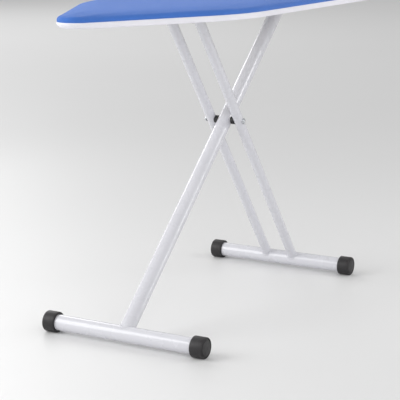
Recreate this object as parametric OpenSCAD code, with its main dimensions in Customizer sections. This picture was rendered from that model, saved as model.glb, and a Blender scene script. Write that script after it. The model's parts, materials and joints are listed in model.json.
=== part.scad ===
// Free-standing ironing board on a folding scissor stand.
// A single tube at the nose end crosses a pair of tubes at the tail end. The pair hinges under the board,
// and the single tube carries an axle that slides in a channel, where a notched comb sets the height.
// Frame: +X runs from nose to tail, +Z is up, and the origin is on the floor under the middle of the board.

/* [Board] */
// Length over the padded cover
board_length = 1350; // [1300:5:1400]
// Width over the padded cover
board_width = 460; // [450:1:470]
// Radius of the nose seen from above
nose_radius = 43; // [36:1:50]
// Angle of each tapered side to the centre line
taper_angle = 26.8; // [26:0.1:28]
// Radius where the taper runs into the straight side
shoulder_radius = 410; // [380:5:430]
// Radius of the two tail corners
tail_radius = 90; // [60:5:100]
// Diameter of the bent steel rim tube
rim_d = 17; // [16:0.5:17.5]

/* [Heights] */
// Height of the ironing surface above the floor
surface_height = 811; // [800:1:820]
// Height of the scissor pivot above the floor
pivot_height = 479; // [470:1:485]
// Depth of the hinge and slide axes below the ironing surface
axis_drop = 49; // [48:0.5:49]
// Depth of the blue part of the cover at the edge
cover_depth = 21.5; // [20:0.5:22]
// Height of the white binding below it
binding_height = 12; // [11:0.5:12]

/* [Stand] */
// Distance of the scissor pivot behind the middle of the board
pivot_x = 56; // [50:1:60]
// Run of the single leg for each unit of rise
single_lean = 1.118; // [1.10:0.002:1.13]
// Run of the pair of legs for each unit of rise
pair_lean = 0.764; // [0.75:0.002:0.78]
// Distance between the centre lines of the pair
pair_spacing = 82; // [82:0.5:84]
// Diameter of the single leg tube
single_d = 38; // [36:0.5:38]
// Diameter of each tube of the pair
pair_d = 26; // [24:0.5:26]
// Diameter of both foot tubes
foot_d = 40; // [38:0.5:42]
// Length of the front foot over its caps
front_foot_length = 456; // [440:1:460]
// Length of the rear foot over its caps
rear_foot_length = 448; // [440:1:460]
// Diameter of the rubber foot caps
cap_d = 52; // [50:0.5:54]
// Length of the rubber foot caps
cap_length = 35; // [32:1:38]

/* [Hidden] */
$fn = 64;

// Finishes
STEEL_WHITE = [0.90, 0.90, 0.92];
COVER_BLUE = [0.33, 0.45, 0.75];
BINDING_WHITE = [0.92, 0.92, 0.94];
RUBBER_BLACK = [0.16, 0.16, 0.17];
ZINC = [0.72, 0.73, 0.74];
NYLON = [0.85, 0.85, 0.83];

// Heights of the layers of the board, from the top down
skin = 1.2;
pad_top = surface_height - skin;
plate_thickness = 0.8;
rim_top = surface_height - 15;
rim_z = rim_top - rim_d / 2;
rim_wall = 1;
rim_ease = 0.05;
plate_bottom = rim_top - plate_thickness;
member_height = 11.2;
member_bottom = plate_bottom - member_height;
band_top = surface_height - cover_depth;
band_bottom = band_top - binding_height;

// Plan of the board
nose_x = -board_length / 2;
tail_x = board_length / 2;
half_w = board_width / 2;
rim_inset = skin + 0.1 + rim_d / 2;
nose_c = [nose_x + nose_radius, 0];
taper_start = nose_c + nose_radius * [-sin(taper_angle), cos(taper_angle)];
shoulder_rise = shoulder_radius * (1 - cos(taper_angle));
taper_run = (half_w - shoulder_rise - taper_start[1]) / tan(taper_angle);
taper_end = taper_start + taper_run * [1, tan(taper_angle)];
shoulder_c = taper_end + shoulder_radius * [sin(taper_angle), -cos(taper_angle)];
tail_c = [tail_x - tail_radius, half_w - tail_radius];

// Stand
cap_flat = 0.8;
foot_z = cap_d / 2 - cap_flat;
axis_z = surface_height - axis_drop;
pivot = [pivot_x, 0, pivot_height];
pair_y = pair_spacing / 2;
upper_rise = axis_z - pivot_height;
lower_rise = pivot_height - foot_z;
slide_point = pivot + upper_rise * [single_lean, 0, 1];
hinge_point = pivot + upper_rise * [-pair_lean, 0, 1];
front_foot = pivot - lower_rise * [single_lean, 0, 1];
rear_foot = pivot - lower_rise * [-pair_lean, 0, 1];
single_wall = 1.2;
pair_wall = 1;
foot_wall = 1.2;
cap_end = 4;

// Slide channel, axle and release gear
axle_r = 5;
slot_start = slide_point[0] - 102;
slot_end = slide_point[0] + 256;
slot_low = axis_z - 12.5;
slot_high = axis_z + 7.5;
channel_start = slot_start - 20;
channel_end = slot_end + 14;
channel_half_gap = 22;
channel_wall = 2;
channel_low = slot_low - 4.5;
notch_pitch = 28;
notch_r = 5.4;
NOTCHES = [-2 : 4];
rod_r = 3;
rod_y = 34;
rod_z = axis_z + 14;
arm_x = slot_end - 28;
arm_r = 2.8;

// Pivot and hinge hardware
bolt_r = 4;
running = 0.05;
bush_r = 7.5;
spacer_r = 10;
pin_r = 4;
ear_wall = 2.5;
ear_gap = 1;
tube_past_pin = 9;

// ---------- helpers ----------

function arc(c, r, from, to, steps) =
    [for (i = [0 : steps]) let (a = from + (to - from) * i / steps) c + r * [cos(a), sin(a)]];

// One side of the plan, nose to tail, moved inwards by inset
function half_plan(inset) = concat(
    arc(nose_c, nose_radius - inset, 180, 90 + taper_angle, 14),
    arc(shoulder_c, shoulder_radius - inset, 90 + taper_angle, 90, 14),
    arc(tail_c, tail_radius - inset, 90, 0, 14));

function full_plan(inset) =
    let (side = half_plan(inset), last = len(side) - 1)
    concat(side, [for (i = [last : -1 : 1]) [side[i][0], -side[i][1]]]);

// Half width of the plan at a distance x along the board
function width_at(x) =
    x < taper_start[0] ? sqrt(max(0, pow(nose_radius, 2) - pow(x - nose_c[0], 2))) :
    x < taper_end[0] ? taper_start[1] + (x - taper_start[0]) * tan(taper_angle) :
    x < shoulder_c[0] ? shoulder_c[1] + sqrt(pow(shoulder_radius, 2) - pow(x - shoulder_c[0], 2)) :
    x < tail_c[0] ? half_w :
    tail_c[1] + sqrt(max(0, pow(tail_radius, 2) - pow(x - tail_c[0], 2)));

module slab(inset, low, high) {
    translate([0, 0, low]) linear_extrude(high - low) polygon(full_plan(inset));
}

// Places children, drawn along +Z from the origin, on the line from a towards b
module along(a, b) {
    d = b - a;
    translate(a) rotate([0, acos(d[2] / norm(d)), atan2(d[1], d[0])]) children();
}

module hollow(d, wall, length) {
    difference() {
        cylinder(d = d, h = length);
        translate([0, 0, -1]) cylinder(d = d - 2 * wall, h = length + 2);
    }
}

// A cylinder along Y between two Y values, at a point in the XZ plane
module rod_y(x, z, r, from, to) {
    translate([x, from, z]) rotate([-90, 0, 0]) cylinder(r = r, h = to - from);
}

// Children, drawn for the left side, copied to the right side
module both_sides() {
    children();
    mirror([0, 1, 0]) children();
}

// ---------- board ----------

module cover() {
    color(COVER_BLUE) difference() {
        slab(0, band_top, surface_height);
        slab(skin, band_top - 1, pad_top);
    }
}

module cover_binding() {
    color(BINDING_WHITE) union() {
        difference() {
            slab(0, band_bottom, band_top);
            slab(skin, band_bottom - 1, band_top + 1);
        }
        difference() {
            slab(0, band_bottom - skin, band_bottom);
            slab(26, band_bottom - 2 * skin, band_bottom + 1);
        }
    }
}

module hem_elastic() {
    color(BINDING_WHITE) difference() {
        slab(22.5, band_bottom, band_bottom + 3);
        slab(25.5, band_bottom - 1, band_bottom + 4);
    }
}

module foam_pad() {
    color("white") slab(skin, rim_top, pad_top);
}

module perforated_top() {
    vent_pitch_x = 60;
    vent_pitch_y = 44;
    vent_r = 5;
    edge = 48;
    color(STEEL_WHITE) difference() {
        slab(rim_inset + 4.8, plate_bottom, rim_top);
        for (i = [0 : floor((board_length - 2 * edge) / vent_pitch_x)]) {
            x = nose_x + edge + i * vent_pitch_x;
            rows = floor((width_at(x) - edge) / vent_pitch_y);
            if (rows >= 0) for (j = [-rows : rows])
                translate([x, j * vent_pitch_y, plate_bottom - 1]) cylinder(r = vent_r, h = 4, $fn = 24);
        }
    }
}

// One bend of the rim about a centre in plan, a hair thinner than the straight runs that lap over its ends
module rim_bend(c, r, from, turn) {
    translate([c[0], c[1], rim_z]) rotate([0, 0, from]) rotate_extrude(angle = turn, $fn = 60)
        translate([r - rim_inset, 0]) difference() {
            circle(d = rim_d - 2 * rim_ease, $fn = 24);
            circle(d = rim_d - 2 * (rim_wall - rim_ease), $fn = 24);
        }
}

module rim_run(a, b) {
    lap = 0.5;
    past = lap * (b - a) / norm(b - a);
    start = a - past;
    end = b + past;
    along([start[0], start[1], rim_z], [end[0], end[1], rim_z])
        hollow(rim_d, rim_wall, norm(end - start), $fn = 24);
}

module rim_tube() {
    inwards = rim_inset * [sin(taper_angle), -cos(taper_angle)];
    color(STEEL_WHITE) union() {
        rim_bend(nose_c, nose_radius, 90 + taper_angle, 180 - 2 * taper_angle);
        rim_run([tail_x - rim_inset, -tail_c[1]], [tail_x - rim_inset, tail_c[1]]);
        both_sides() {
            rim_run(taper_start + inwards, taper_end + inwards);
            rim_bend(shoulder_c, shoulder_radius, 90, taper_angle);
            rim_run([shoulder_c[0], half_w - rim_inset], [tail_c[0], half_w - rim_inset]);
            rim_bend(tail_c, tail_radius, 0, 90);
        }
    }
}

// U-section member across the board at x, open towards the perforated top
module crossmember(x) {
    member_w = 30;
    wall = 1.5;
    reach = min(width_at(x - member_w / 2), width_at(x + member_w / 2)) - rim_inset - rim_d / 2 - 2;
    color(STEEL_WHITE) translate([x - member_w / 2, -reach, member_bottom]) difference() {
        cube([member_w, 2 * reach, member_height]);
        translate([wall, -1, wall]) cube([member_w - 2 * wall, 2 * reach + 2, member_height]);
    }
}

module front_crossmember() { crossmember(nose_x + 265); }
module hinge_crossmember() { crossmember(hinge_point[0]); }
module middle_crossmember() { crossmember(slot_start + 40); }
module rear_crossmember() { crossmember(slot_end - 60); }

// Long slot with round ends, cut through both flanges of the channel
module channel_slot(depth) {
    slot_r = 6;
    run = slot_end - slot_start;
    rise = slot_high - slot_low;
    translate([0, depth / 2, 0]) rotate([90, 0, 0]) linear_extrude(depth) {
        translate([slot_start, slot_low + slot_r]) square([run, rise - 2 * slot_r]);
        translate([slot_start + slot_r, slot_low]) square([run - 2 * slot_r, rise]);
        for (x = [slot_start + slot_r, slot_end - slot_r], z = [slot_low + slot_r, slot_high - slot_r])
            translate([x, z]) circle(r = slot_r);
    }
}

module slide_channel() {
    outer = channel_half_gap + channel_wall;
    run = channel_end - channel_start;
    depth = member_bottom - channel_low;
    color(STEEL_WHITE) difference() {
        translate([channel_start, -outer, channel_low]) cube([run, 2 * outer, depth]);
        translate([channel_start - 1, -channel_half_gap, channel_low - 1])
            cube([run + 2, 2 * channel_half_gap, depth - channel_wall + 1]);
        channel_slot(4 * outer);
        for (x = screw_places(), y = [-12, 12]) translate([x, y, member_bottom - channel_wall - 1])
            cylinder(r = 2.1, h = channel_wall + 2, $fn = 32);
    }
}

function screw_places() = [slot_start + 40, slot_end - 60];

module channel_screws() {
    color(ZINC) for (x = screw_places(), y = [-12, 12])
        translate([x, y, member_bottom - channel_wall]) cylinder(r = 2, h = channel_wall, $fn = 32);
}

// Two ears and a top plate, on the left side
module hinge_bracket() {
    inside = pair_d / 2 + ear_gap;
    low_r = 11;
    plate = 2;
    difference() {
        union() {
            for (y = [pair_y - inside - ear_wall, pair_y + inside]) {
                rod_y(hinge_point[0], axis_z, low_r, y, y + ear_wall);
                translate([hinge_point[0] - low_r, y, axis_z])
                    cube([2 * low_r, ear_wall, member_bottom - axis_z]);
            }
            translate([hinge_point[0] - low_r, pair_y - inside - ear_wall, member_bottom - plate])
                cube([2 * low_r, 2 * (inside + ear_wall) + 16, plate]);
        }
        rod_y(hinge_point[0], axis_z, pin_r, pair_y - inside - 2 * ear_wall, pair_y + inside + 2 * ear_wall);
        for (y = rivet_rows()) translate([hinge_point[0], y, member_bottom - 2 * plate])
            cylinder(r = 2.5, h = 3 * plate, $fn = 32);
    }
}

function rivet_rows() = [pair_y, pair_y + pair_d / 2 + ear_gap + ear_wall + 8];

module hinge_bracket_left() { color(STEEL_WHITE) hinge_bracket(); }
module hinge_bracket_right() { color(STEEL_WHITE) mirror([0, 1, 0]) hinge_bracket(); }

module bracket_rivets() {
    color(ZINC) both_sides() for (y = rivet_rows()) translate([hinge_point[0], y, member_bottom - 2]) {
        cylinder(r = 2.5, h = 2, $fn = 32);
        translate([0, 0, -1.2]) cylinder(r = 4, h = 1.2, $fn = 32);
    }
}

module hinge_pins() {
    inner = pair_y - pair_d / 2 - ear_gap - ear_wall;
    outer = pair_y + pair_d / 2 + ear_gap + ear_wall;
    color(ZINC) both_sides() {
        rod_y(hinge_point[0], axis_z, pin_r, inner - 2, outer);
        rod_y(hinge_point[0], axis_z, 6.5, outer, outer + 2);
    }
}

module hinge_clips() {
    inner = pair_y - pair_d / 2 - ear_gap - ear_wall;
    color(ZINC) both_sides() difference() {
        rod_y(hinge_point[0], axis_z, 6, inner - 1.2, inner - 0.1);
        rod_y(hinge_point[0], axis_z, pin_r, inner - 3, inner + 3);
    }
}

// Blocks on the side of the channel that carry the release rod
module release_bearings() {
    block = 8;
    flange_face = channel_half_gap + channel_wall;
    color(ZINC) for (x = [channel_start + 1, channel_end - block - 1]) difference() {
        union() {
            translate([x, flange_face, rod_z - 6]) cube([block, rod_y - flange_face, 12]);
            translate([x, rod_y, rod_z]) rotate([0, 90, 0]) cylinder(r = 6, h = block);
        }
        translate([x - 1, rod_y, rod_z]) rotate([0, 90, 0]) cylinder(r = rod_r + running, h = block + 2);
    }
}

// ---------- release lever ----------

arm_start = [arm_x, rod_y, rod_z];
arm_end = [arm_x, rod_y + 100, rod_z - 32];
grip_end = [arm_x, rod_y + 158, rod_z - 36];

module release_rod() {
    color(ZINC) union() {
        translate([channel_start - 2, rod_y, rod_z]) rotate([0, 90, 0])
            cylinder(r = rod_r, h = channel_end - channel_start + 4);
        along(arm_start, arm_end) cylinder(r = arm_r, h = norm(arm_end - arm_start));
        translate(arm_end) sphere(r = arm_r + 0.3);
        along(arm_end, grip_end) cylinder(r = arm_r, h = norm(grip_end - arm_end) - 12);
    }
}

module latch_comb() {
    comb_gap = 0.5;
    comb_face = channel_half_gap + channel_wall + 5.5 + comb_gap;
    comb_wall = 2.5;
    low = axis_z - 2;
    from = slide_point[0] + (NOTCHES[0] - 1) * notch_pitch;
    to = slide_point[0] + (NOTCHES[2] + 1) * notch_pitch;
    color(ZINC) difference() {
        translate([from, comb_face, low]) cube([to - from, comb_wall, rod_z - low]);
        for (i = NOTCHES) {
            rod_y(slide_point[0] + i * notch_pitch, axis_z + 1, notch_r, 0, comb_face + 2 * comb_wall);
            translate([slide_point[0] + i * notch_pitch - notch_r, comb_face - 15, low - 1])
                cube([2 * notch_r, 20, 4]);
        }
        translate([from - 1, rod_y, rod_z]) rotate([0, 90, 0]) cylinder(r = rod_r, h = to - from + 2);
    }
}

module lever_grip() {
    grip_w = 24;
    grip_h = 12;
    length = norm(grip_end - arm_end) - 4;
    color(RUBBER_BLACK) difference() {
        along(arm_end, grip_end) translate([0, 0, 6]) linear_extrude(length) {
            square([grip_h, grip_w - grip_h], center = true);
            for (s = [-1, 1]) translate([0, s * (grip_w - grip_h) / 2]) circle(d = grip_h);
        }
        along(arm_end, grip_end) cylinder(r = arm_r, h = norm(grip_end - arm_end) - 12);
    }
}

// Points round the wire of a coil about the release rod
function coil_ring(at, turn, r, wire, sides) =
    [for (k = [0 : sides - 1])
        let (a = 360 * k / sides, reach = r + wire * cos(a))
        [at + wire * sin(a), rod_y + reach * cos(turn), rod_z + reach * sin(turn)]];

module release_spring() {
    turns = 5;
    per_turn = 16;
    wire = 0.6;
    coil_r = 4.3;
    sides = 6;
    pitch = 1.7;
    rings = turns * per_turn;
    from = channel_end - 10 - turns * pitch - 1;
    points = [for (i = [0 : rings])
        each coil_ring(from + pitch * i / per_turn, 360 * i / per_turn, coil_r, wire, sides)];
    walls = [for (i = [0 : rings - 1], k = [0 : sides - 1])
        [i * sides + k, i * sides + (k + 1) % sides, (i + 1) * sides + (k + 1) % sides, (i + 1) * sides + k]];
    ends = [[for (k = [sides - 1 : -1 : 0]) k], [for (k = [0 : sides - 1]) rings * sides + k]];
    color(ZINC) polyhedron(points, concat(walls, ends));
}

// ---------- pair of legs ----------

// Children, drawn along +Z from the foot's axis, on the left tube's line
module on_pair_line() {
    across = [0, pair_y, 0];
    along(rear_foot + across, hinge_point + across) children();
}

pair_length = norm(hinge_point - rear_foot);

module pair_tube() {
    difference() {
        on_pair_line() hollow(pair_d, pair_wall, pair_length + tube_past_pin);
        rod_y(rear_foot[0], foot_z, foot_d / 2, 0, 2 * pair_y);
        rod_y(pivot_x, pivot_height, bolt_r + 0.1, 0, 2 * pair_y);
        rod_y(hinge_point[0], axis_z, pin_r + 0.3, 0, 2 * pair_y);
    }
}

module pair_tube_left() { color(STEEL_WHITE) pair_tube(); }
module pair_tube_right() { color(STEEL_WHITE) mirror([0, 1, 0]) pair_tube(); }

module pair_top_plugs() {
    top = pair_length + tube_past_pin;
    color(RUBBER_BLACK) both_sides() difference() {
        on_pair_line() {
            translate([0, 0, top - 30]) cylinder(d = pair_d - 2 * pair_wall, h = 30);
            translate([0, 0, top]) cylinder(d = pair_d, h = 2);
        }
        rod_y(hinge_point[0], axis_z, pin_r + running, 0, 2 * pair_y);
    }
}

module foot_tube(at, length) {
    half = length / 2 - cap_end;
    color(STEEL_WHITE) difference() {
        rod_y(at[0], at[2], foot_d / 2, -half, half);
        rod_y(at[0], at[2], foot_d / 2 - foot_wall, -half - 1, half + 1);
    }
}

// Rubber cup over the left end of a foot tube, with chamfered rims and a flat to stand on
module foot_cap(at, length) {
    bevel = 2.5;
    lip = 1;
    r = cap_d / 2;
    bore = foot_d / 2;
    difference() {
        translate([at[0], length / 2 - cap_length, at[2]]) rotate([-90, 0, 0]) rotate_extrude()
            polygon([[bore, 0], [r - lip, 0], [r, lip], [r, cap_length - bevel], [r - bevel, cap_length],
                [0, cap_length], [0, cap_length - cap_end], [bore, cap_length - cap_end]]);
        translate([at[0] - r, 0, -cap_d]) cube([cap_d, length, cap_d]);
    }
}

module rear_foot_tube() { foot_tube(rear_foot, rear_foot_length); }
module rear_cap_left() { color(RUBBER_BLACK) foot_cap(rear_foot, rear_foot_length); }
module rear_cap_right() { color(RUBBER_BLACK) mirror([0, 1, 0]) foot_cap(rear_foot, rear_foot_length); }

bolt_reach = pair_y + pair_d / 2 + 1.5;

// Domed button drawn along +Z
module dome(r, h) {
    ball = (r * r + h * h) / (2 * h);
    intersection() {
        translate([0, 0, h - ball]) sphere(r = ball);
        cylinder(r = r, h = h);
    }
}

module pivot_bolt() {
    color(ZINC) union() {
        rod_y(pivot_x, pivot_height, bolt_r, -bolt_reach, bolt_reach + 3.5);
        translate([pivot_x, -bolt_reach, pivot_height]) rotate([90, 0, 0]) dome(6.5, 3.5);
    }
}

module pivot_nut() {
    color(ZINC) translate([pivot_x, bolt_reach, pivot_height]) rotate([-90, 0, 0]) difference() {
        union() {
            cylinder(r = 7.5, h = 3, $fn = 6);
            translate([0, 0, 3]) dome(5.6, 3);
        }
        translate([0, 0, -1]) cylinder(r = bolt_r, h = 4.5);
    }
}

module pivot_washers() {
    color(ZINC) both_sides() difference() {
        rod_y(pivot_x, pivot_height, 8, bolt_reach - 1.5, bolt_reach);
        rod_y(pivot_x, pivot_height, bolt_r + 0.2, 0, 2 * bolt_reach);
    }
}

module pivot_spacer() {
    clear = 0.5;
    difference() {
        rod_y(pivot_x, pivot_height, spacer_r, single_d / 2 + clear, pair_y - 11);
        rod_y(pivot_x, pivot_height, bolt_r + 0.1, 0, pair_y);
        on_pair_line() cylinder(d = pair_d, h = pair_length);
    }
}

module pivot_spacer_left() { color(RUBBER_BLACK) pivot_spacer(); }
module pivot_spacer_right() { color(RUBBER_BLACK) mirror([0, 1, 0]) pivot_spacer(); }

// Sleeves inside the pair, so that the bolt doesn't crush the tubes
module crush_sleeves() {
    sleeve_r = 6.5;
    reach = sqrt(pow(pair_d / 2 - pair_wall, 2) - pow(sleeve_r, 2)) - 0.1;
    color(ZINC) both_sides() difference() {
        rod_y(pivot_x, pivot_height, sleeve_r, pair_y - reach, pair_y + reach);
        rod_y(pivot_x, pivot_height, bolt_r + 0.1, 0, 2 * pair_y);
    }
}

// ---------- single leg ----------

head_reach = 22;

module single_tube() {
    length = norm(slide_point - front_foot) - head_reach;
    color(STEEL_WHITE) difference() {
        along(front_foot, slide_point) hollow(single_d, single_wall, length);
        rod_y(front_foot[0], foot_z, foot_d / 2, -single_d, single_d);
        rod_y(pivot_x, pivot_height, bush_r, -single_d, single_d);
    }
}

module pivot_bush() {
    color(NYLON) difference() {
        rod_y(pivot_x, pivot_height, bush_r, -single_d / 2, single_d / 2);
        rod_y(pivot_x, pivot_height, bolt_r + running, -single_d, single_d);
    }
}

module front_foot_tube() { foot_tube(front_foot, front_foot_length); }
module front_cap_left() { color(RUBBER_BLACK) foot_cap(front_foot, front_foot_length); }
module front_cap_right() { color(RUBBER_BLACK) mirror([0, 1, 0]) foot_cap(front_foot, front_foot_length); }

// Nylon plug in the top of the single leg, with a rounded eye for the axle
module slide_head() {
    eye_r = 12;
    eye_w = 30;
    neck_w = 20;
    neck_d = 26;
    plug = 28;
    length = norm(slide_point - front_foot);
    color(RUBBER_BLACK) difference() {
        union() {
            along(front_foot, slide_point) {
                translate([0, 0, length - head_reach - plug])
                    cylinder(d = single_d - 2 * single_wall, h = plug);
                translate([-neck_w / 2, -neck_d / 2, length - head_reach - 1])
                    cube([neck_w, neck_d, head_reach]);
            }
            rod_y(slide_point[0], axis_z, eye_r, -eye_w / 2, eye_w / 2);
        }
        rod_y(slide_point[0], axis_z, axle_r, -eye_w, eye_w);
    }
}

axle_half = channel_half_gap + channel_wall + 5.5;

module slide_axle() {
    color(ZINC) rod_y(slide_point[0], axis_z, axle_r, -axle_half, axle_half);
}

// A ring on the axle, both sides, between two distances from the middle
module axle_rings(r, from, to) {
    both_sides() difference() {
        rod_y(slide_point[0], axis_z, r, from, to);
        rod_y(slide_point[0], axis_z, axle_r, from - 1, to + 1);
    }
}

module slide_washers() { color(NYLON) axle_rings(9, 15.2, channel_half_gap - 0.4); }
module retaining_washers() {
    color(ZINC) axle_rings(14, channel_half_gap + channel_wall + 0.4, channel_half_gap + channel_wall + 1.9);
}
module axle_clips() {
    color(ZINC) axle_rings(8, channel_half_gap + channel_wall + 2, channel_half_gap + channel_wall + 4);
}

// ---------- assembly ----------

cover();
cover_binding();
hem_elastic();
foam_pad();
perforated_top();
rim_tube();
front_crossmember();
hinge_crossmember();
middle_crossmember();
rear_crossmember();
slide_channel();
channel_screws();
hinge_bracket_left();
hinge_bracket_right();
bracket_rivets();
hinge_pins();
hinge_clips();
release_bearings();
release_rod();
latch_comb();
lever_grip();
release_spring();
pair_tube_left();
pair_tube_right();
pair_top_plugs();
rear_foot_tube();
rear_cap_left();
rear_cap_right();
pivot_bolt();
pivot_nut();
pivot_washers();
pivot_spacer_left();
pivot_spacer_right();
crush_sleeves();
single_tube();
pivot_bush();
front_foot_tube();
front_cap_left();
front_cap_right();
slide_head();
slide_axle();
slide_washers();
retaining_washers();
axle_clips();
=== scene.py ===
"""Looks for a folding ironing board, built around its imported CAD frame.

The board lies along X with its nose at -X, and the stand below it folds. Sizes are in metres.
"""

import json
import logging
import math
from dataclasses import dataclass, field
from enum import Enum
from typing import Callable, Iterable, Optional, Sequence

import bmesh
import bpy
import numpy as np
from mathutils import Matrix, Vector
from mathutils.kdtree import KDTree


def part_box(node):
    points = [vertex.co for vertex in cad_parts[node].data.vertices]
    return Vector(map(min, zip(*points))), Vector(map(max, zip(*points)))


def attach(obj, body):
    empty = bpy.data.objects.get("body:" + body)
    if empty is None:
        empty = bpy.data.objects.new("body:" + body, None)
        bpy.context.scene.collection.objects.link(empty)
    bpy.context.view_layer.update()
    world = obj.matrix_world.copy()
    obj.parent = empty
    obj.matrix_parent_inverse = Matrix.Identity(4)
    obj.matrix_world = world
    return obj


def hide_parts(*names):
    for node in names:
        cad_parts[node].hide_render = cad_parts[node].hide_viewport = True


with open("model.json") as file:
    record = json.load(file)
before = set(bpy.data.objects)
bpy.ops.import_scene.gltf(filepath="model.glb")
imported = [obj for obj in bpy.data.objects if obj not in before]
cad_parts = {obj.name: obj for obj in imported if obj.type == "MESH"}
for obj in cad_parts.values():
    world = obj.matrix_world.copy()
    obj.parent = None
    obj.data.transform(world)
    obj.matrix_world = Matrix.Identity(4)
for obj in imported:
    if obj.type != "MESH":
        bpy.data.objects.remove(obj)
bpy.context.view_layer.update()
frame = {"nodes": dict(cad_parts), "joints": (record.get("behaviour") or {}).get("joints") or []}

MM = 0.001
logging.basicConfig(level=logging.INFO, format="%(message)s")
log = logging.getLogger("ironing_board")


class Body(Enum):
    """The rigid bodies of the frame."""

    BOARD = "board"
    LEVER = "release_lever"
    PAIR = "pair_leg"
    SINGLE = "single_leg"


class Pattern(Enum):
    """Where a material's pattern is laid out."""

    OBJECT = "Object"
    SURFACE = "UV"


# ---------- nodes and finishes ----------


def linear_colour(hex_code: str) -> tuple[float, float, float, float]:
    """Turns an sRGB hex value into linear RGBA.

    Args:
        hex_code: Six hex digits with a leading #.

    Returns:
        The linear colour with full alpha.
    """
    channels = [int(hex_code[i : i + 2], 16) / 255 for i in (1, 3, 5)]
    linear = [c / 12.92 if c <= 0.04045 else ((c + 0.055) / 1.055) ** 2.4 for c in channels]
    return (*linear, 1.0)


def add_node(tree: bpy.types.NodeTree, kind: str, settings: Optional[dict] = None,
             inputs: Optional[dict] = None) -> bpy.types.Node:
    """Adds one node with its settings and links.

    Args:
        tree: The shader or geometry tree that gets the node.
        kind: The node's type name.
        settings: Attribute names with their values.
        inputs: Input names or numbers with a value, or with the socket to link from.

    Returns:
        The new node.
    """
    node = tree.nodes.new(kind)
    for name, value in (settings or {}).items():
        setattr(node, name, value)
    for key, value in (inputs or {}).items():
        socket = node.inputs[key]
        if isinstance(value, bpy.types.NodeSocket):
            tree.links.new(value, socket)
        else:
            socket.default_value = value
    return node


@dataclass(frozen=True)
class Finish:
    """A finish's common values; subclasses add the surface that its making leaves.

    Attributes:
        name: The material's name, which says what it really is.
        colour: Base colour as an sRGB hex value.
        roughness: Mean roughness of the surface.
        pattern: Where the patterns are laid out.
    """

    name: str
    colour: str
    roughness: float = 0.5
    pattern: Pattern = Pattern.OBJECT

    def shader_values(self) -> dict:
        """Gives the values that are the same all over the surface."""
        return {}

    def mottle(self, tree: bpy.types.NodeTree, place: bpy.types.NodeSocket, size_mm: float,
               amount: float) -> bpy.types.NodeSocket:
        """Varies the base colour softly, as real surfaces do.

        Args:
            tree: The material's tree.
            place: The pattern's coordinates.
            size_mm: Size of the lighter and darker patches.
            amount: How far a patch's brightness departs from the base colour.

        Returns:
            The colour socket.
        """
        noise = add_node(tree, "ShaderNodeTexNoise", inputs={
            "Vector": place, "Scale": 1 / (size_mm * MM), "Detail": 3.0, "Roughness": 0.55})
        ramp = add_node(tree, "ShaderNodeMapRange", inputs={
            0: noise.outputs["Fac"], 1: 0.3, 2: 0.7, 3: 1 - amount, 4: 1 + amount})
        hue = add_node(tree, "ShaderNodeHueSaturation", inputs={
            "Value": ramp.outputs[0], "Color": linear_colour(self.colour)})
        return hue.outputs["Color"]

    def rough_patches(self, tree: bpy.types.NodeTree, place: bpy.types.NodeSocket, size_mm: float,
                      spread: float) -> bpy.types.NodeSocket:
        """Varies the roughness in patches, as handling and dust do.

        Args:
            tree: The material's tree.
            place: The pattern's coordinates.
            size_mm: Size of a patch.
            spread: Half of the range of roughness.

        Returns:
            The roughness socket.
        """
        noise = add_node(tree, "ShaderNodeTexNoise", inputs={
            "Vector": place, "Scale": 1 / (size_mm * MM), "Detail": 4.0})
        ramp = add_node(tree, "ShaderNodeMapRange", inputs={
            0: noise.outputs["Fac"], 1: 0.3, 2: 0.7,
            3: self.roughness - spread, 4: self.roughness + spread})
        return ramp.outputs[0]

    def surface(self, tree: bpy.types.NodeTree, place: bpy.types.NodeSocket) -> dict:
        """Builds the patterned inputs of the shader.

        Args:
            tree: The material's tree.
            place: The pattern's coordinates.

        Returns:
            Shader input names with the sockets that feed them.
        """
        return {"Base Color": self.mottle(tree, place, 60, 0.03)}

    def build(self) -> bpy.types.Material:
        """Makes the material, once.

        Returns:
            The material.
        """
        if self.name in bpy.data.materials:
            return bpy.data.materials[self.name]
        material = bpy.data.materials.new(self.name)
        material.use_nodes = True
        tree = material.node_tree
        tree.nodes.clear()
        place = add_node(tree, "ShaderNodeTexCoord").outputs[self.pattern.value]
        inputs = {"Base Color": linear_colour(self.colour), "Roughness": self.roughness}
        inputs.update(self.shader_values())
        inputs.update(self.surface(tree, place))
        shader = add_node(tree, "ShaderNodeBsdfPrincipled", inputs=inputs)
        add_node(tree, "ShaderNodeOutputMaterial", inputs={"Surface": shader.outputs[0]})
        return material


@dataclass(frozen=True)
class PowderCoat(Finish):
    """Polyester powder baked on steel: an even gloss coat with a soft orange peel."""

    peel_mm: float = 2.4
    peel_depth_mm: float = 0.004
    coat: float = 0.7
    coat_roughness: float = 0.06

    def shader_values(self) -> dict:
        """Gives the coat its clear top layer."""
        return {"Coat Weight": self.coat, "Coat Roughness": self.coat_roughness, "IOR": 1.5}

    def surface(self, tree: bpy.types.NodeTree, place: bpy.types.NodeSocket) -> dict:
        """Adds orange peel and a faint change of gloss.

        Args:
            tree: The material's tree.
            place: The pattern's coordinates.

        Returns:
            Shader input names with the sockets that feed them.
        """
        peel = add_node(tree, "ShaderNodeTexNoise", inputs={
            "Vector": place, "Scale": 1 / (self.peel_mm * MM), "Detail": 1.0})
        relief = add_node(tree, "ShaderNodeBump", inputs={
            "Height": peel.outputs["Fac"], "Distance": self.peel_depth_mm * MM, "Strength": 1.0})
        return {
            "Base Color": self.mottle(tree, place, 90, 0.015),
            "Roughness": self.rough_patches(tree, place, 40, 0.04),
            "Normal": relief.outputs["Normal"],
        }


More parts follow.
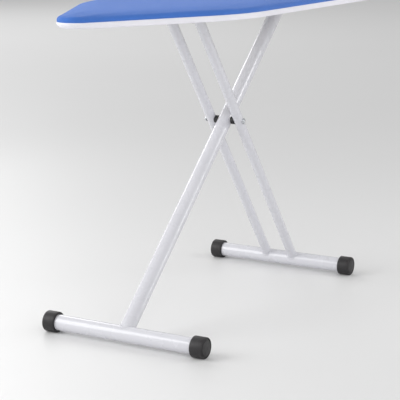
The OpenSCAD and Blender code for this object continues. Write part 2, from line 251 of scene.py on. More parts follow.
@dataclass(frozen=True)
class WovenCloth(Finish):
    """Plain-woven cloth: crossing threads with slubs, and a soft sheen off the fibre ends."""

    thread_mm: float = 0.9
    relief_mm: float = 0.12
    slub: float = 0.05
    sheen: float = 0.3
    sheen_tint: str = "#FFFFFF"

    def shader_values(self) -> dict:
        """Gives the cloth its sheen and dull specular."""
        return {"Sheen Weight": self.sheen, "Sheen Roughness": 0.5,
                "Sheen Tint": linear_colour(self.sheen_tint), "Specular IOR Level": 0.25}

    def thread(self, tree: bpy.types.NodeTree, along: bpy.types.NodeSocket,
               across: bpy.types.NodeSocket, phase: float) -> bpy.types.NodeSocket:
        """Height of one set of threads, which rise and dip over the other set.

        Args:
            tree: The material's tree.
            along: Position along the threads, in threads.
            across: Position across the threads, in threads.
            phase: Half a turn for the second set, so that one is up where the other is down.

        Returns:
            The height's socket.
        """
        round_top = add_node(tree, "ShaderNodeMath", {"operation": "MULTIPLY"}, {
            0: across, 1: math.pi})
        profile = add_node(tree, "ShaderNodeMath", {"operation": "SINE"}, {0: round_top.outputs[0]})
        body = add_node(tree, "ShaderNodeMath", {"operation": "ABSOLUTE"}, {0: profile.outputs[0]})
        turn = add_node(tree, "ShaderNodeMath", {"operation": "MULTIPLY_ADD"}, {
            0: along, 1: math.pi, 2: phase})
        wave = add_node(tree, "ShaderNodeMath", {"operation": "SINE"}, {0: turn.outputs[0]})
        over = add_node(tree, "ShaderNodeMath", {"operation": "MULTIPLY"}, {
            0: wave.outputs[0], 1: profile.outputs[0]})
        return add_node(tree, "ShaderNodeMath", {"operation": "MULTIPLY_ADD"}, {
            0: over.outputs[0], 1: 0.5, 2: body.outputs[0]}).outputs[0]

    def surface(self, tree: bpy.types.NodeTree, place: bpy.types.NodeSocket) -> dict:
        """Weaves warp and weft at the thread's pitch and streaks them with slubs.

        Args:
            tree: The material's tree.
            place: The pattern's coordinates, in metres on the flat cloth.

        Returns:
            Shader input names with the sockets that feed them.
        """
        threads = add_node(tree, "ShaderNodeVectorMath", {"operation": "SCALE"}, {
            0: place, "Scale": 1 / (self.thread_mm * MM)})
        split = add_node(tree, "ShaderNodeSeparateXYZ", inputs={0: threads.outputs[0]})
        warp = self.thread(tree, split.outputs[0], split.outputs[1], 0.0)
        weft = self.thread(tree, split.outputs[1], split.outputs[0], math.pi)
        height = add_node(tree, "ShaderNodeMath", {"operation": "MAXIMUM"}, {0: warp, 1: weft})
        streaks = []
        for stretch in ((0.03, 1.0, 1.0), (1.0, 0.03, 1.0)):
            mapped = add_node(tree, "ShaderNodeMapping", inputs={0: place, "Scale": stretch})
            streaks.append(add_node(tree, "ShaderNodeTexNoise", inputs={
                "Vector": mapped.outputs[0], "Scale": 1 / (2 * self.thread_mm * MM),
                "Detail": 2.0}).outputs["Fac"])
        slubs = add_node(tree, "ShaderNodeMath", {"operation": "ADD"}, {0: streaks[0], 1: streaks[1]})
        value = add_node(tree, "ShaderNodeMapRange", inputs={
            0: slubs.outputs[0], 1: 0.7, 2: 1.3, 3: 1 - self.slub, 4: 1 + self.slub})
        tone = add_node(tree, "ShaderNodeHueSaturation", inputs={
            "Value": value.outputs[0], "Color": self.mottle(tree, place, 120, 0.03)})
        relief = add_node(tree, "ShaderNodeBump", inputs={
            "Height": height.outputs[0], "Distance": self.relief_mm * MM, "Strength": 1.0})
        return {
            "Base Color": tone.outputs["Color"],
            "Roughness": self.rough_patches(tree, place, 30, 0.05),
            "Normal": relief.outputs["Normal"],
        }


@dataclass(frozen=True)
class Felt(Finish):
    """Needled felt on foam: short matted fibres with no direction."""

    def surface(self, tree: bpy.types.NodeTree, place: bpy.types.NodeSocket) -> dict:
        """Mats the surface with fine fibre noise over soft lumps.

        Args:
            tree: The material's tree.
            place: The pattern's coordinates.

        Returns:
            Shader input names with the sockets that feed them.
        """
        lumps = add_node(tree, "ShaderNodeTexNoise", inputs={
            "Vector": place, "Scale": 1 / (9 * MM), "Detail": 5.0, "Roughness": 0.7})
        fibres = add_node(tree, "ShaderNodeTexNoise", inputs={
            "Vector": place, "Scale": 1 / (0.8 * MM), "Detail": 2.0})
        coarse = add_node(tree, "ShaderNodeBump", inputs={
            "Height": lumps.outputs["Fac"], "Distance": 0.8 * MM, "Strength": 1.0})
        fine = add_node(tree, "ShaderNodeBump", inputs={
            "Height": fibres.outputs["Fac"], "Distance": 0.2 * MM, "Strength": 1.0,
            "Normal": coarse.outputs["Normal"]})
        return {
            "Base Color": self.mottle(tree, place, 5, 0.12),
            "Normal": fine.outputs["Normal"],
        }


@dataclass(frozen=True)
class MouldedPolymer(Finish):
    """Injection-moulded plastic or rubber: a fine spark-eroded grain with scuffs and dust."""

    grain_mm: float = 0.7
    relief_mm: float = 0.05
    dust: float = 0.12

    def surface(self, tree: bpy.types.NodeTree, place: bpy.types.NodeSocket) -> dict:
        """Grains the surface, and lets dust mottle its tone in patches.

        Args:
            tree: The material's tree.
            place: The pattern's coordinates.

        Returns:
            Shader input names with the sockets that feed them.
        """
        grain = add_node(tree, "ShaderNodeTexVoronoi", {"feature": "SMOOTH_F1"}, {
            "Vector": place, "Scale": 1 / (self.grain_mm * MM)})
        relief = add_node(tree, "ShaderNodeBump", inputs={
            "Height": grain.outputs["Distance"], "Distance": self.relief_mm * MM, "Strength": 1.0})
        return {
            "Base Color": self.mottle(tree, place, 14, self.dust),
            "Roughness": self.rough_patches(tree, place, 9, 0.07),
            "Normal": relief.outputs["Normal"],
        }


@dataclass(frozen=True)
class PlatedSteel(Finish):
    """Zinc-plated steel: a bright metal with drawn lines and cloudy passivation."""

    def shader_values(self) -> dict:
        """Makes it metal."""
        return {"Metallic": 1.0}

    def surface(self, tree: bpy.types.NodeTree, place: bpy.types.NodeSocket) -> dict:
        """Clouds the plating and draws fine lines along X.

        Args:
            tree: The material's tree.
            place: The pattern's coordinates.

        Returns:
            Shader input names with the sockets that feed them.
        """
        mapped = add_node(tree, "ShaderNodeMapping", inputs={0: place, "Scale": (0.04, 1.0, 1.0)})
        drawn = add_node(tree, "ShaderNodeTexNoise", inputs={
            "Vector": mapped.outputs[0], "Scale": 1 / (0.35 * MM), "Detail": 2.0})
        relief = add_node(tree, "ShaderNodeBump", inputs={
            "Height": drawn.outputs["Fac"], "Distance": 0.02 * MM, "Strength": 1.0})
        return {
            "Base Color": self.mottle(tree, place, 7, 0.10),
            "Roughness": self.rough_patches(tree, place, 5, 0.09),
            "Normal": relief.outputs["Normal"],
        }


@dataclass(frozen=True)
class SeamlessPaper(Finish):
    """Studio background laid on a smooth floor: pale, even and slightly glossy."""

    def shader_values(self) -> dict:
        """Lets the floor mirror softly what stands on it."""
        return {"Specular IOR Level": 0.5, "IOR": 1.45}

    def surface(self, tree: bpy.types.NodeTree, place: bpy.types.NodeSocket) -> dict:
        """Leaves the floor almost plain.

        Args:
            tree: The material's tree.
            place: The pattern's coordinates.

        Returns:
            Shader input names with the sockets that feed them.
        """
        return {"Base Color": self.mottle(tree, place, 3000, 0.01)}


# White polyester powder: clean, even and glossy, with a faint cool cast
POWDER_LEG = PowderCoat("powder_coated_steel_leg", "#D4D4DA", 0.28)
# The same powder on the board's own frame, a little duller where the pad's dust lies
POWDER_FRAME = PowderCoat("powder_coated_steel_frame", "#DCDCE0", 0.38)
# Dyed cotton: matt, with a soft pale sheen. Its threads are drawn at 0.9 mm, twice the real
# pitch, so that they show close up
BLUE_COTTON = WovenCloth("dyed_cotton_plain_weave", "#4273C6", 0.78, Pattern.SURFACE,
                         sheen_tint="#B9CBFF")
# Bleached cotton tape: a tighter, flatter weave than the cover's, and a little brighter
WHITE_TAPE = WovenCloth("bleached_cotton_tape", "#ECEBF2", 0.62, Pattern.SURFACE,
                        thread_mm=0.7, relief_mm=0.08, slub=0.02, sheen=0.15)
# Braided elastic: an off-white cord with a rough skin, drawn as a coarse weave round it
BRAIDED_ELASTIC = WovenCloth("braided_elastic", "#D8D6D2", 0.7,
                             thread_mm=0.8, relief_mm=0.15, slub=0.04, sheen=0.1)
# Polyester thread: whiter and shinier than the tape that it is sewn through
SEWING_THREAD = WovenCloth("polyester_sewing_thread", "#F4F3F7", 0.5,
                           thread_mm=0.3, relief_mm=0.05, slub=0.02, sheen=0.2)
# Needled felt: a dull, warm grey with matted fibres, seen through the sheet's holes
GREY_FELT = Felt("needled_felt_on_foam", "#CFC9B8", 0.95)
# Thermoplastic rubber, moulded, which takes a charcoal tone under soft light
CAP_RUBBER = MouldedPolymer("moulded_rubber", "#222022", 0.5, relief_mm=0.06)
# Black nylon: harder and a little shinier than the rubber, with a finer grain
BLACK_NYLON = MouldedPolymer("moulded_black_nylon", "#1B1B1E", 0.42, grain_mm=0.5, dust=0.08)
# Natural nylon: a milky off-white with a waxy gloss
NATURAL_NYLON = MouldedPolymer("moulded_natural_nylon", "#DAD8CC", 0.38, grain_mm=0.5, dust=0.04)
# Bright zinc: a silvery metal with soft, cloudy reflections
BRIGHT_ZINC = PlatedSteel("bright_zinc_plated_steel", "#C6C9CC", 0.30)
# Background paper: pale and plain, with a faint reflection of the feet
STUDIO_FLOOR = SeamlessPaper("seamless_studio_paper", "#E5E5E5", 0.42)


# ---------- meshes ----------


def piece_from(name: str, points: Sequence, faces: Sequence, finish: Finish,
               smooth: bool = True) -> bpy.types.Object:
    """Makes a piece from points and faces, at the origin.

    Args:
        name: The piece's name.
        points: Its points, in metres.
        faces: Its faces, as point numbers.
        finish: What it is made of.
        smooth: Whether its faces are shaded smooth.

    Returns:
        The new object, in the scene.
    """
    mesh = bpy.data.meshes.new(name)
    mesh.from_pydata([tuple(map(float, p)) for p in points], [], [tuple(map(int, f)) for f in faces])
    mesh.update()
    mesh.polygons.foreach_set("use_smooth", [smooth] * len(mesh.polygons))
    piece = bpy.data.objects.new(name, mesh)
    bpy.context.scene.collection.objects.link(piece)
    mesh.materials.append(finish.build())
    return piece


def point_outwards(piece: bpy.types.Object, merge_mm: float = 0.001) -> None:
    """Merges doubled points and turns the faces outwards.

    Args:
        piece: The piece to mend.
        merge_mm: How close two points are when they count as one.
    """
    shape = bmesh.new()
    shape.from_mesh(piece.data)
    bmesh.ops.remove_doubles(shape, verts=shape.verts, dist=merge_mm * MM)
    bmesh.ops.recalc_face_normals(shape, faces=shape.faces)
    shape.to_mesh(piece.data)
    shape.free()
    piece.data.update()


def face_outwards(piece: bpy.types.Object, outwards: Callable, merge: Optional[float] = None) -> None:
    """Turns the faces of an open sheet to the side that a test tells.

    Args:
        piece: The sheet.
        outwards: Tells from the sheet's bmesh whether its faces already point outwards.
        merge: Distance under which two points become one, where any should.
    """
    shape = bmesh.new()
    shape.from_mesh(piece.data)
    if merge is not None:
        bmesh.ops.remove_doubles(shape, verts=shape.verts, dist=merge)
    bmesh.ops.recalc_face_normals(shape, faces=shape.faces)
    shape.faces.ensure_lookup_table()
    if not outwards(shape):
        bmesh.ops.reverse_faces(shape, faces=shape.faces)
    shape.to_mesh(piece.data)
    shape.free()


def apply_modifiers(piece: bpy.types.Object) -> None:
    """Turns a piece with its modifiers into a plain mesh."""
    bpy.context.view_layer.update()
    graph = bpy.context.evaluated_depsgraph_get()
    plain = bpy.data.meshes.new_from_object(piece.evaluated_get(graph))
    piece.modifiers.clear()
    old = piece.data
    piece.data = plain
    plain.name = piece.name
    bpy.data.meshes.remove(old)


def thicken(piece: bpy.types.Object, thickness: float, outwards: float = -1.0) -> None:
    """Gives a single surface its thickness and closes its edges.

    Args:
        piece: The surface.
        thickness: Its thickness.
        outwards: -1 to grow inwards from the surface, 1 outwards and 0 both ways.
    """
    solid = piece.modifiers.new("thickness", "SOLIDIFY")
    solid.thickness = thickness
    solid.offset = outwards
    solid.use_even_offset = False
    apply_modifiers(piece)


def sharp_edges(piece: bpy.types.Object, degrees: float = 35.0) -> None:
    """Shades a piece smooth, except over edges sharper than this angle."""
    piece.data.polygons.foreach_set("use_smooth", [True] * len(piece.data.polygons))
    piece.data.set_sharp_from_angle(angle=math.radians(degrees))


def lathe(profile: Sequence[tuple[float, float]], segments: int) -> tuple[np.ndarray, list]:
    """Turns a profile about Z. A profile point on the axis becomes a pole.

    Args:
        profile: Radius and height of each point, in metres.
        segments: Number of points round.

    Returns:
        The points and faces.
    """
    turns = np.arange(segments) * 2 * math.pi / segments
    points: list = []
    rows: list = []
    for radius, height in profile:
        if radius < 1e-9:
            rows.append([len(points)] * segments)
            points.append((0.0, 0.0, height))
        else:
            rows.append(list(range(len(points), len(points) + segments)))
            points.extend((radius * math.cos(t), radius * math.sin(t), height) for t in turns)
    faces = []
    for low, high in zip(rows, rows[1:]):
        for i in range(segments):
            j = (i + 1) % segments
            corners = list(dict.fromkeys([low[i], low[j], high[j], high[i]]))
            if len(corners) > 2:
                faces.append(corners)
    return np.array(points), faces


def turned_to(points: np.ndarray, axis: Sequence[float], at: Sequence[float]) -> np.ndarray:
    """Turns points made about Z to another axis and moves them.

    Args:
        points: The points.
        axis: Where +Z goes.
        at: Where the origin goes.

    Returns:
        The moved points.
    """
    turn = Vector((0, 0, 1)).rotation_difference(Vector(axis).normalized()).to_matrix()
    return points @ np.array(turn).T + np.array(at)


def corner(centre: tuple[float, float], radius: float, start: float, end: float,
           steps: int) -> list[tuple[float, float]]:
    """Points on a rounded corner of a profile.

    Args:
        centre: The corner's centre.
        radius: Its radius.
        start: First angle, in degrees.
        end: Last angle, in degrees.
        steps: Number of steps.

    Returns:
        The points.
    """
    angles = [math.radians(start + (end - start) * i / steps) for i in range(steps + 1)]
    return [(centre[0] + radius * math.cos(a), centre[1] + radius * math.sin(a)) for a in angles]


def middle(node: str) -> np.ndarray:
    """Gives the middle of a CAD node's box."""
    low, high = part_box(node)
    return (np.array(low) + np.array(high)) / 2


# ---------- geometry node trees ----------

# A weld's ripple: its segments and rings, and its shape as bead_tree takes it
WELD_BALL = (12, 8)
WELD_SHAPE = (1.25, 1.0, 1.0)


class RepeatTree:
    """A geometry tree with named size inputs, ending in Realize Instances and Set Material."""

    def __init__(self, name: str, sizes: dict[str, float]) -> None:
        """Starts the tree.

        Args:
            name: The tree's name.
            sizes: Names and values of its size inputs, in metres.
        """
        self.tree = bpy.data.node_groups.new(name, "GeometryNodeTree")
        face = self.tree.interface
        face.new_socket("Geometry", in_out="INPUT", socket_type="NodeSocketGeometry")
        self.keys = {}
        self.sizes = sizes
        for key in sizes:
            socket = face.new_socket(key, in_out="INPUT", socket_type="NodeSocketFloat")
            self.keys[key] = socket.identifier
        face.new_socket("Geometry", in_out="OUTPUT", socket_type="NodeSocketGeometry")
        self.entry = self.add("NodeGroupInput")

    def add(self, kind: str, settings: Optional[dict] = None,
            inputs: Optional[dict] = None) -> bpy.types.Node:
        """Adds a node to this tree, as add_node does."""
        return add_node(self.tree, kind, settings, inputs)

    def size(self, key: str) -> bpy.types.NodeSocket:
        """Gives the socket of a size input."""
        return self.entry.outputs[key]

    def finish(self, geometry: bpy.types.NodeSocket, finish: Finish) -> None:
        """Ends the tree.

        Args:
            geometry: What the tree has made.
            finish: Its material.
        """
        real = self.add("GeometryNodeRealizeInstances", inputs={0: geometry})
        dressed = self.add("GeometryNodeSetMaterial", inputs={
            "Geometry": real.outputs[0], "Material": finish.build()})
        self.add("NodeGroupOutput", inputs={0: dressed.outputs[0]})

    def run(self, name: str, points: Sequence, edges: Sequence = ()) -> bpy.types.Object:
        """Runs the tree on a set of points or a line and keeps its result as a plain mesh.

        Args:
            name: The new piece's name.
            points: Where the repeats go, in metres.
            edges: Point pairs, where the points form a line.

        Returns:
            The new piece.
        """
        mesh = bpy.data.meshes.new(name)
        mesh.from_pydata([tuple(map(float, p)) for p in points], [tuple(e) for e in edges], [])
        piece = bpy.data.objects.new(name, mesh)
        bpy.context.scene.collection.objects.link(piece)
        modifier = piece.modifiers.new("repeat", "NODES")
        modifier.node_group = self.tree
        for key, identifier in self.keys.items():
            modifier[identifier] = float(self.sizes[key])
        apply_modifiers(piece)
        return piece


def bead_tree(name: str, step: float, radius: float, ball: tuple[int, int],
              shape: tuple[float, float, float], finish: Finish) -> RepeatTree:
    """A row of flattened balls along a line, as stitches or the ripples of a weld.

    Args:
        name: The tree's name.
        step: Distance from one ball to the next.
        radius: Half of a ball's width, before its shape is applied.
        ball: The ball's segments and rings.
        shape: Half length as a share of the step, then half width and half height as shares of the
            radius.
        finish: The material.

    Returns:
        The tree.
    """
    repeat = RepeatTree(name, {"Step": step, "Radius": radius})
    line = repeat.add("GeometryNodeMeshToCurve", inputs={0: repeat.entry.outputs["Geometry"]})
    steps = repeat.add("GeometryNodeResampleCurve", {"mode": "LENGTH"}, {
        "Curve": line.outputs[0], "Length": repeat.size("Step")})
    along = repeat.add("GeometryNodeInputTangent")
    turn = repeat.add("FunctionNodeAlignRotationToVector", {"axis": "X"}, {
        "Vector": along.outputs[0]})
    sphere = repeat.add("GeometryNodeMeshUVSphere", inputs={
        "Segments": ball[0], "Rings": ball[1], "Radius": 1.0})
    sizes = repeat.add("ShaderNodeCombineXYZ", inputs={
        0: repeat.size("Step"), 1: repeat.size("Radius"), 2: repeat.size("Radius")})
    scale = repeat.add("ShaderNodeVectorMath", {"operation": "MULTIPLY"}, {
        0: sizes.outputs[0], 1: shape})
    placed = repeat.add("GeometryNodeInstanceOnPoints", inputs={
        "Points": steps.outputs[0], "Instance": sphere.outputs[0], "Rotation": turn.outputs[0],
        "Scale": scale.outputs[0]})
    repeat.finish(placed.outputs[0], finish)
    return repeat


def tile_tree(pitch: float, hole: float, finish: Finish) -> RepeatTree:
    """A perforated sheet: a six-sided cell with a round hole, at each point.

    Args:
        pitch: Distance between the holes' centres.
        hole: The holes' radius.
        finish: The sheet's material.

    Returns:
        The tree.
    """
    repeat = RepeatTree("perforated_cells", {"Pitch": pitch, "Hole": hole})
    reach = repeat.add("ShaderNodeMath", {"operation": "MULTIPLY"}, {
        0: repeat.size("Pitch"), 1: 1 / math.sqrt(3)})
    outer = repeat.add("GeometryNodeMeshCircle", inputs={
        "Vertices": 12, "Radius": reach.outputs[0]})
    number = repeat.add("GeometryNodeInputIndex")
    odd = repeat.add("ShaderNodeMath", {"operation": "MODULO"}, {0: number.outputs[0], 1: 2.0})
    shrink = repeat.add("ShaderNodeMapRange", inputs={
        0: odd.outputs[0], 1: 0.0, 2: 1.0, 3: 1.0, 4: math.cos(math.pi / 6)})
    where = repeat.add("GeometryNodeInputPosition")
    scaled = repeat.add("ShaderNodeVectorMath", {"operation": "SCALE"}, {
        0: where.outputs[0], "Scale": shrink.outputs[0]})
    flats = repeat.add("GeometryNodeSetPosition", inputs={
        "Geometry": outer.outputs[0], "Position": scaled.outputs[0]})
    ring = repeat.add("GeometryNodeExtrudeMesh", {"mode": "EDGES"}, {
        "Mesh": flats.outputs[0], "Offset Scale": 0.0})
    again = repeat.add("GeometryNodeInputPosition")
    inward = repeat.add("ShaderNodeVectorMath", {"operation": "NORMALIZE"}, {0: again.outputs[0]})
    rim = repeat.add("ShaderNodeVectorMath", {"operation": "SCALE"}, {
        0: inward.outputs[0], "Scale": repeat.size("Hole")})
    cell = repeat.add("GeometryNodeSetPosition", inputs={
        "Geometry": ring.outputs["Mesh"], "Selection": ring.outputs["Top"],
        "Position": rim.outputs[0]})
    placed = repeat.add("GeometryNodeInstanceOnPoints", inputs={
        "Points": repeat.entry.outputs["Geometry"], "Instance": cell.outputs[0]})
    real = repeat.add("GeometryNodeRealizeInstances", inputs={0: placed.outputs[0]})
    joined = repeat.add("GeometryNodeMergeByDistance", inputs={
        "Geometry": real.outputs[0], "Distance": 0.02 * MM})
    repeat.finish(joined.outputs[0], finish)
    return repeat


def fastener_tree(name: str, radius: float, height: float, finish: Finish) -> RepeatTree:
    """Domed heads of rivets or screws, pointing down, at each point.

    Args:
        name: The tree's name.
        radius: The head's radius.
        height: The head's height.
        finish: The fastener's material.

    Returns:
        The tree.
    """
    repeat = RepeatTree(name, {"Radius": radius, "Height": height})
    ball = repeat.add("GeometryNodeMeshUVSphere", inputs={"Segments": 24, "Rings": 12, "Radius": 1.0})
    where = repeat.add("GeometryNodeInputPosition")
    split = repeat.add("ShaderNodeSeparateXYZ", inputs={0: where.outputs[0]})
    flat = repeat.add("ShaderNodeMath", {"operation": "MINIMUM"}, {0: split.outputs[2], 1: 0.0})
    lower = repeat.add("ShaderNodeCombineXYZ", inputs={
        0: split.outputs[0], 1: split.outputs[1], 2: flat.outputs[0]})
    seat = repeat.add("GeometryNodeSetPosition", inputs={
        "Geometry": ball.outputs[0], "Position": lower.outputs[0]})
    scale = repeat.add("ShaderNodeCombineXYZ", inputs={
        0: repeat.size("Radius"), 1: repeat.size("Radius"), 2: repeat.size("Height")})
    placed = repeat.add("GeometryNodeInstanceOnPoints", inputs={
        "Points": repeat.entry.outputs["Geometry"], "Instance": seat.outputs[0],
        "Scale": scale.outputs[0]})
    repeat.finish(placed.outputs[0], finish)
    return repeat


def coil_tree(turns: float, radius: float, wire: float, length: float, finish: Finish) -> RepeatTree:
    """A coil spring along X, from the point that it is given.

    Args:
        turns: Number of turns.
        radius: The coil's mean radius.
        wire: The wire's radius.
        length: The coil's length.
        finish: The wire's material.

    Returns:
        The tree.
    """
    repeat = RepeatTree("coil_spring", {
        "Turns": turns, "Radius": radius, "Wire": wire, "Length": length})
    coil = repeat.add("GeometryNodeCurveSpiral", inputs={
        "Resolution": 28, "Rotations": repeat.size("Turns"), "Start Radius": repeat.size("Radius"),
        "End Radius": repeat.size("Radius"), "Height": repeat.size("Length")})
    round_wire = repeat.add("GeometryNodeCurvePrimitiveCircle", {"mode": "RADIUS"}, {
        "Resolution": 10, "Radius": repeat.size("Wire")})
    solid = repeat.add("GeometryNodeCurveToMesh", inputs={
        "Curve": coil.outputs[0], "Profile Curve": round_wire.outputs[0], "Fill Caps": True})
    smooth = repeat.add("GeometryNodeSetShadeSmooth", inputs={0: solid.outputs[0]})
    placed = repeat.add("GeometryNodeInstanceOnPoints", inputs={
        "Points": repeat.entry.outputs["Geometry"], "Instance": smooth.outputs[0],
        "Rotation": (0.0, math.pi / 2, 0.0)})
    repeat.finish(placed.outputs[0], finish)
    return repeat


# ---------- the board's plan ----------


@dataclass(frozen=True)
class BoardPlan:
    """The board's outline from above: a round nose, straight tapers, round shoulders and tail corners.

    Attributes:
        length: Length over the cover.
        width: Width over the cover.
        nose_radius: Radius of the nose.
        taper: Angle of each taper to the centre line, in radians.
        shoulder_radius: Radius where the taper meets the straight side.
        tail_radius: Radius of the tail's corners.
    """

    length: float
    width: float
    nose_radius: float = 43 * MM
    taper: float = math.radians(26.8)
    shoulder_radius: float = 410 * MM
    tail_radius: float = 90 * MM

    def stretches(self) -> list[tuple[float, float, Callable]]:
        """Lists the stretches of one side, nose to tail.

        Returns:
            For each stretch its length, its density of points, and a function that gives place and
            outward normal at a distance along it.
        """
        sine, cosine = math.sin(self.taper), math.cos(self.taper)
        half = self.width / 2
        nose = np.array([-self.length / 2 + self.nose_radius, 0.0])
        start = nose + self.nose_radius * np.array([-sine, cosine])
        rise = half - self.shoulder_radius * (1 - cosine) - start[1]
        end = start + rise / math.tan(self.taper) * np.array([1, math.tan(self.taper)])
        shoulder = end + self.shoulder_radius * np.array([sine, -cosine])
        tail = np.array([self.length / 2 - self.tail_radius, half - self.tail_radius])

        def arc(centre: np.ndarray, radius: float, first: float) -> Callable:
            """Makes the function of an arc that runs clockwise from its first angle."""
            def at(s: float) -> tuple[np.ndarray, np.ndarray]:
                """Gives place and normal on the arc."""
                a = first - s / radius
                out = np.array([math.cos(a), math.sin(a)])
                return centre + radius * out, out
            return at

        def line(origin: np.ndarray, way: tuple[float, float]) -> Callable:
            """Makes the function of a straight stretch."""
            ahead = np.array(way)
            out = np.array([-ahead[1], ahead[0]])
            return lambda s: (origin + s * ahead, out)

        quarter = math.pi / 2
        return [
            (self.nose_radius * (quarter - self.taper), 3.0, arc(nose, self.nose_radius, math.pi)),
            (rise / sine, 1.0, line(start, (cosine, sine))),
            (self.shoulder_radius * self.taper, 1.0,
             arc(shoulder, self.shoulder_radius, quarter + self.taper)),
            (tail[0] - shoulder[0], 1.0, line(np.array([shoulder[0], half]), (1.0, 0.0))),
            (self.tail_radius * quarter, 1.6, arc(tail, self.tail_radius, quarter)),
            (tail[1], 1.0, line(np.array([self.length / 2, tail[1]]), (0.0, -1.0))),
        ]

    def loop(self, count: int) -> tuple[np.ndarray, np.ndarray]:
        """Points round the whole outline, from the nose's tip, closer together on tight arcs.

        Args:
            count: Number of points, an even number.

        Returns:
            Places and outward normals.
        """
        stretches = self.stretches()
        weights = [length * dense for length, dense, _ in stretches]
        ends = np.cumsum(weights)
        places, normals = [], []
        for step in np.linspace(0, ends[-1], count // 2 + 1):
            k = min(int(np.searchsorted(ends, step)), len(stretches) - 1)
            length, dense, at = stretches[k]
            before = ends[k] - weights[k]
            place, normal = at(min((step - before) / dense, length))
            places.append(place)
            normals.append(normal)
        flip = np.array([1.0, -1.0])
        places += [p * flip for p in places[-2:0:-1]]
        normals += [n * flip for n in normals[-2:0:-1]]
        return np.array(places), np.array(normals)

    def ring(self, count: int, inset: float, height: float) -> np.ndarray:
        """A level ring of points inside the outline.

        Args:
            count: Number of points, an even number.
            inset: Distance in from the outline.
            height: Height of the ring.

        Returns:
            The points.
        """
        places, normals = self.loop(count)
        return np.column_stack([places - normals * inset, np.full(count, height)])

    def perimeter(self) -> float:
        """Gives the length of the outline."""
        return 2 * sum(length for length, _, _ in self.stretches())

    def area(self) -> float:
        """Gives the area inside the outline."""
        places, _ = self.loop(800)
        x, y = places[:, 0], places[:, 1]
        return abs(float(np.dot(x, np.roll(y, 1)) - np.dot(y, np.roll(x, 1)))) / 2


def ring_faces(first: int, second: int, count: int) -> list[tuple[int, int, int, int]]:
    """Faces between two rings of the same number of points.

    Args:
        first: Number of the first ring's first point.
        second: Number of the second ring's first point.
        count: Points in each ring.

    Returns:
        The faces.
    """
    return [(first + i, first + (i + 1) % count, second + (i + 1) % count, second + i)
            for i in range(count)]


def loft(rings: Sequence[np.ndarray], closed_section: bool = False) -> tuple[np.ndarray, list]:
    """Joins rings of points into one surface.

    Args:
        rings: Rings of the same number of points.
        closed_section: Whether the last ring joins the first.

    Returns:
        The points and faces.
    """
    count = len(rings[0])
    faces = []
    for k in range(len(rings) - 1):
        faces += ring_faces(k * count, (k + 1) * count, count)
    if closed_section:
        faces += ring_faces((len(rings) - 1) * count, 0, count)
    return np.concatenate(rings), faces


def set_uv(piece: bpy.types.Object, flat: np.ndarray) -> None:
    """Stores each point's place on the flat cloth as the piece's UV map, in metres.

    Args:
        piece: The piece.
        flat: Two coordinates for each point.
    """
    layer = piece.data.uv_layers.new(name="UVMap")
    corners = np.empty(len(piece.data.loops), np.int32)
    piece.data.loops.foreach_get("vertex_index", corners)
    layer.uv.foreach_set("vector", flat[corners].astype(np.float32).ravel())


# ---------- soft goods ----------


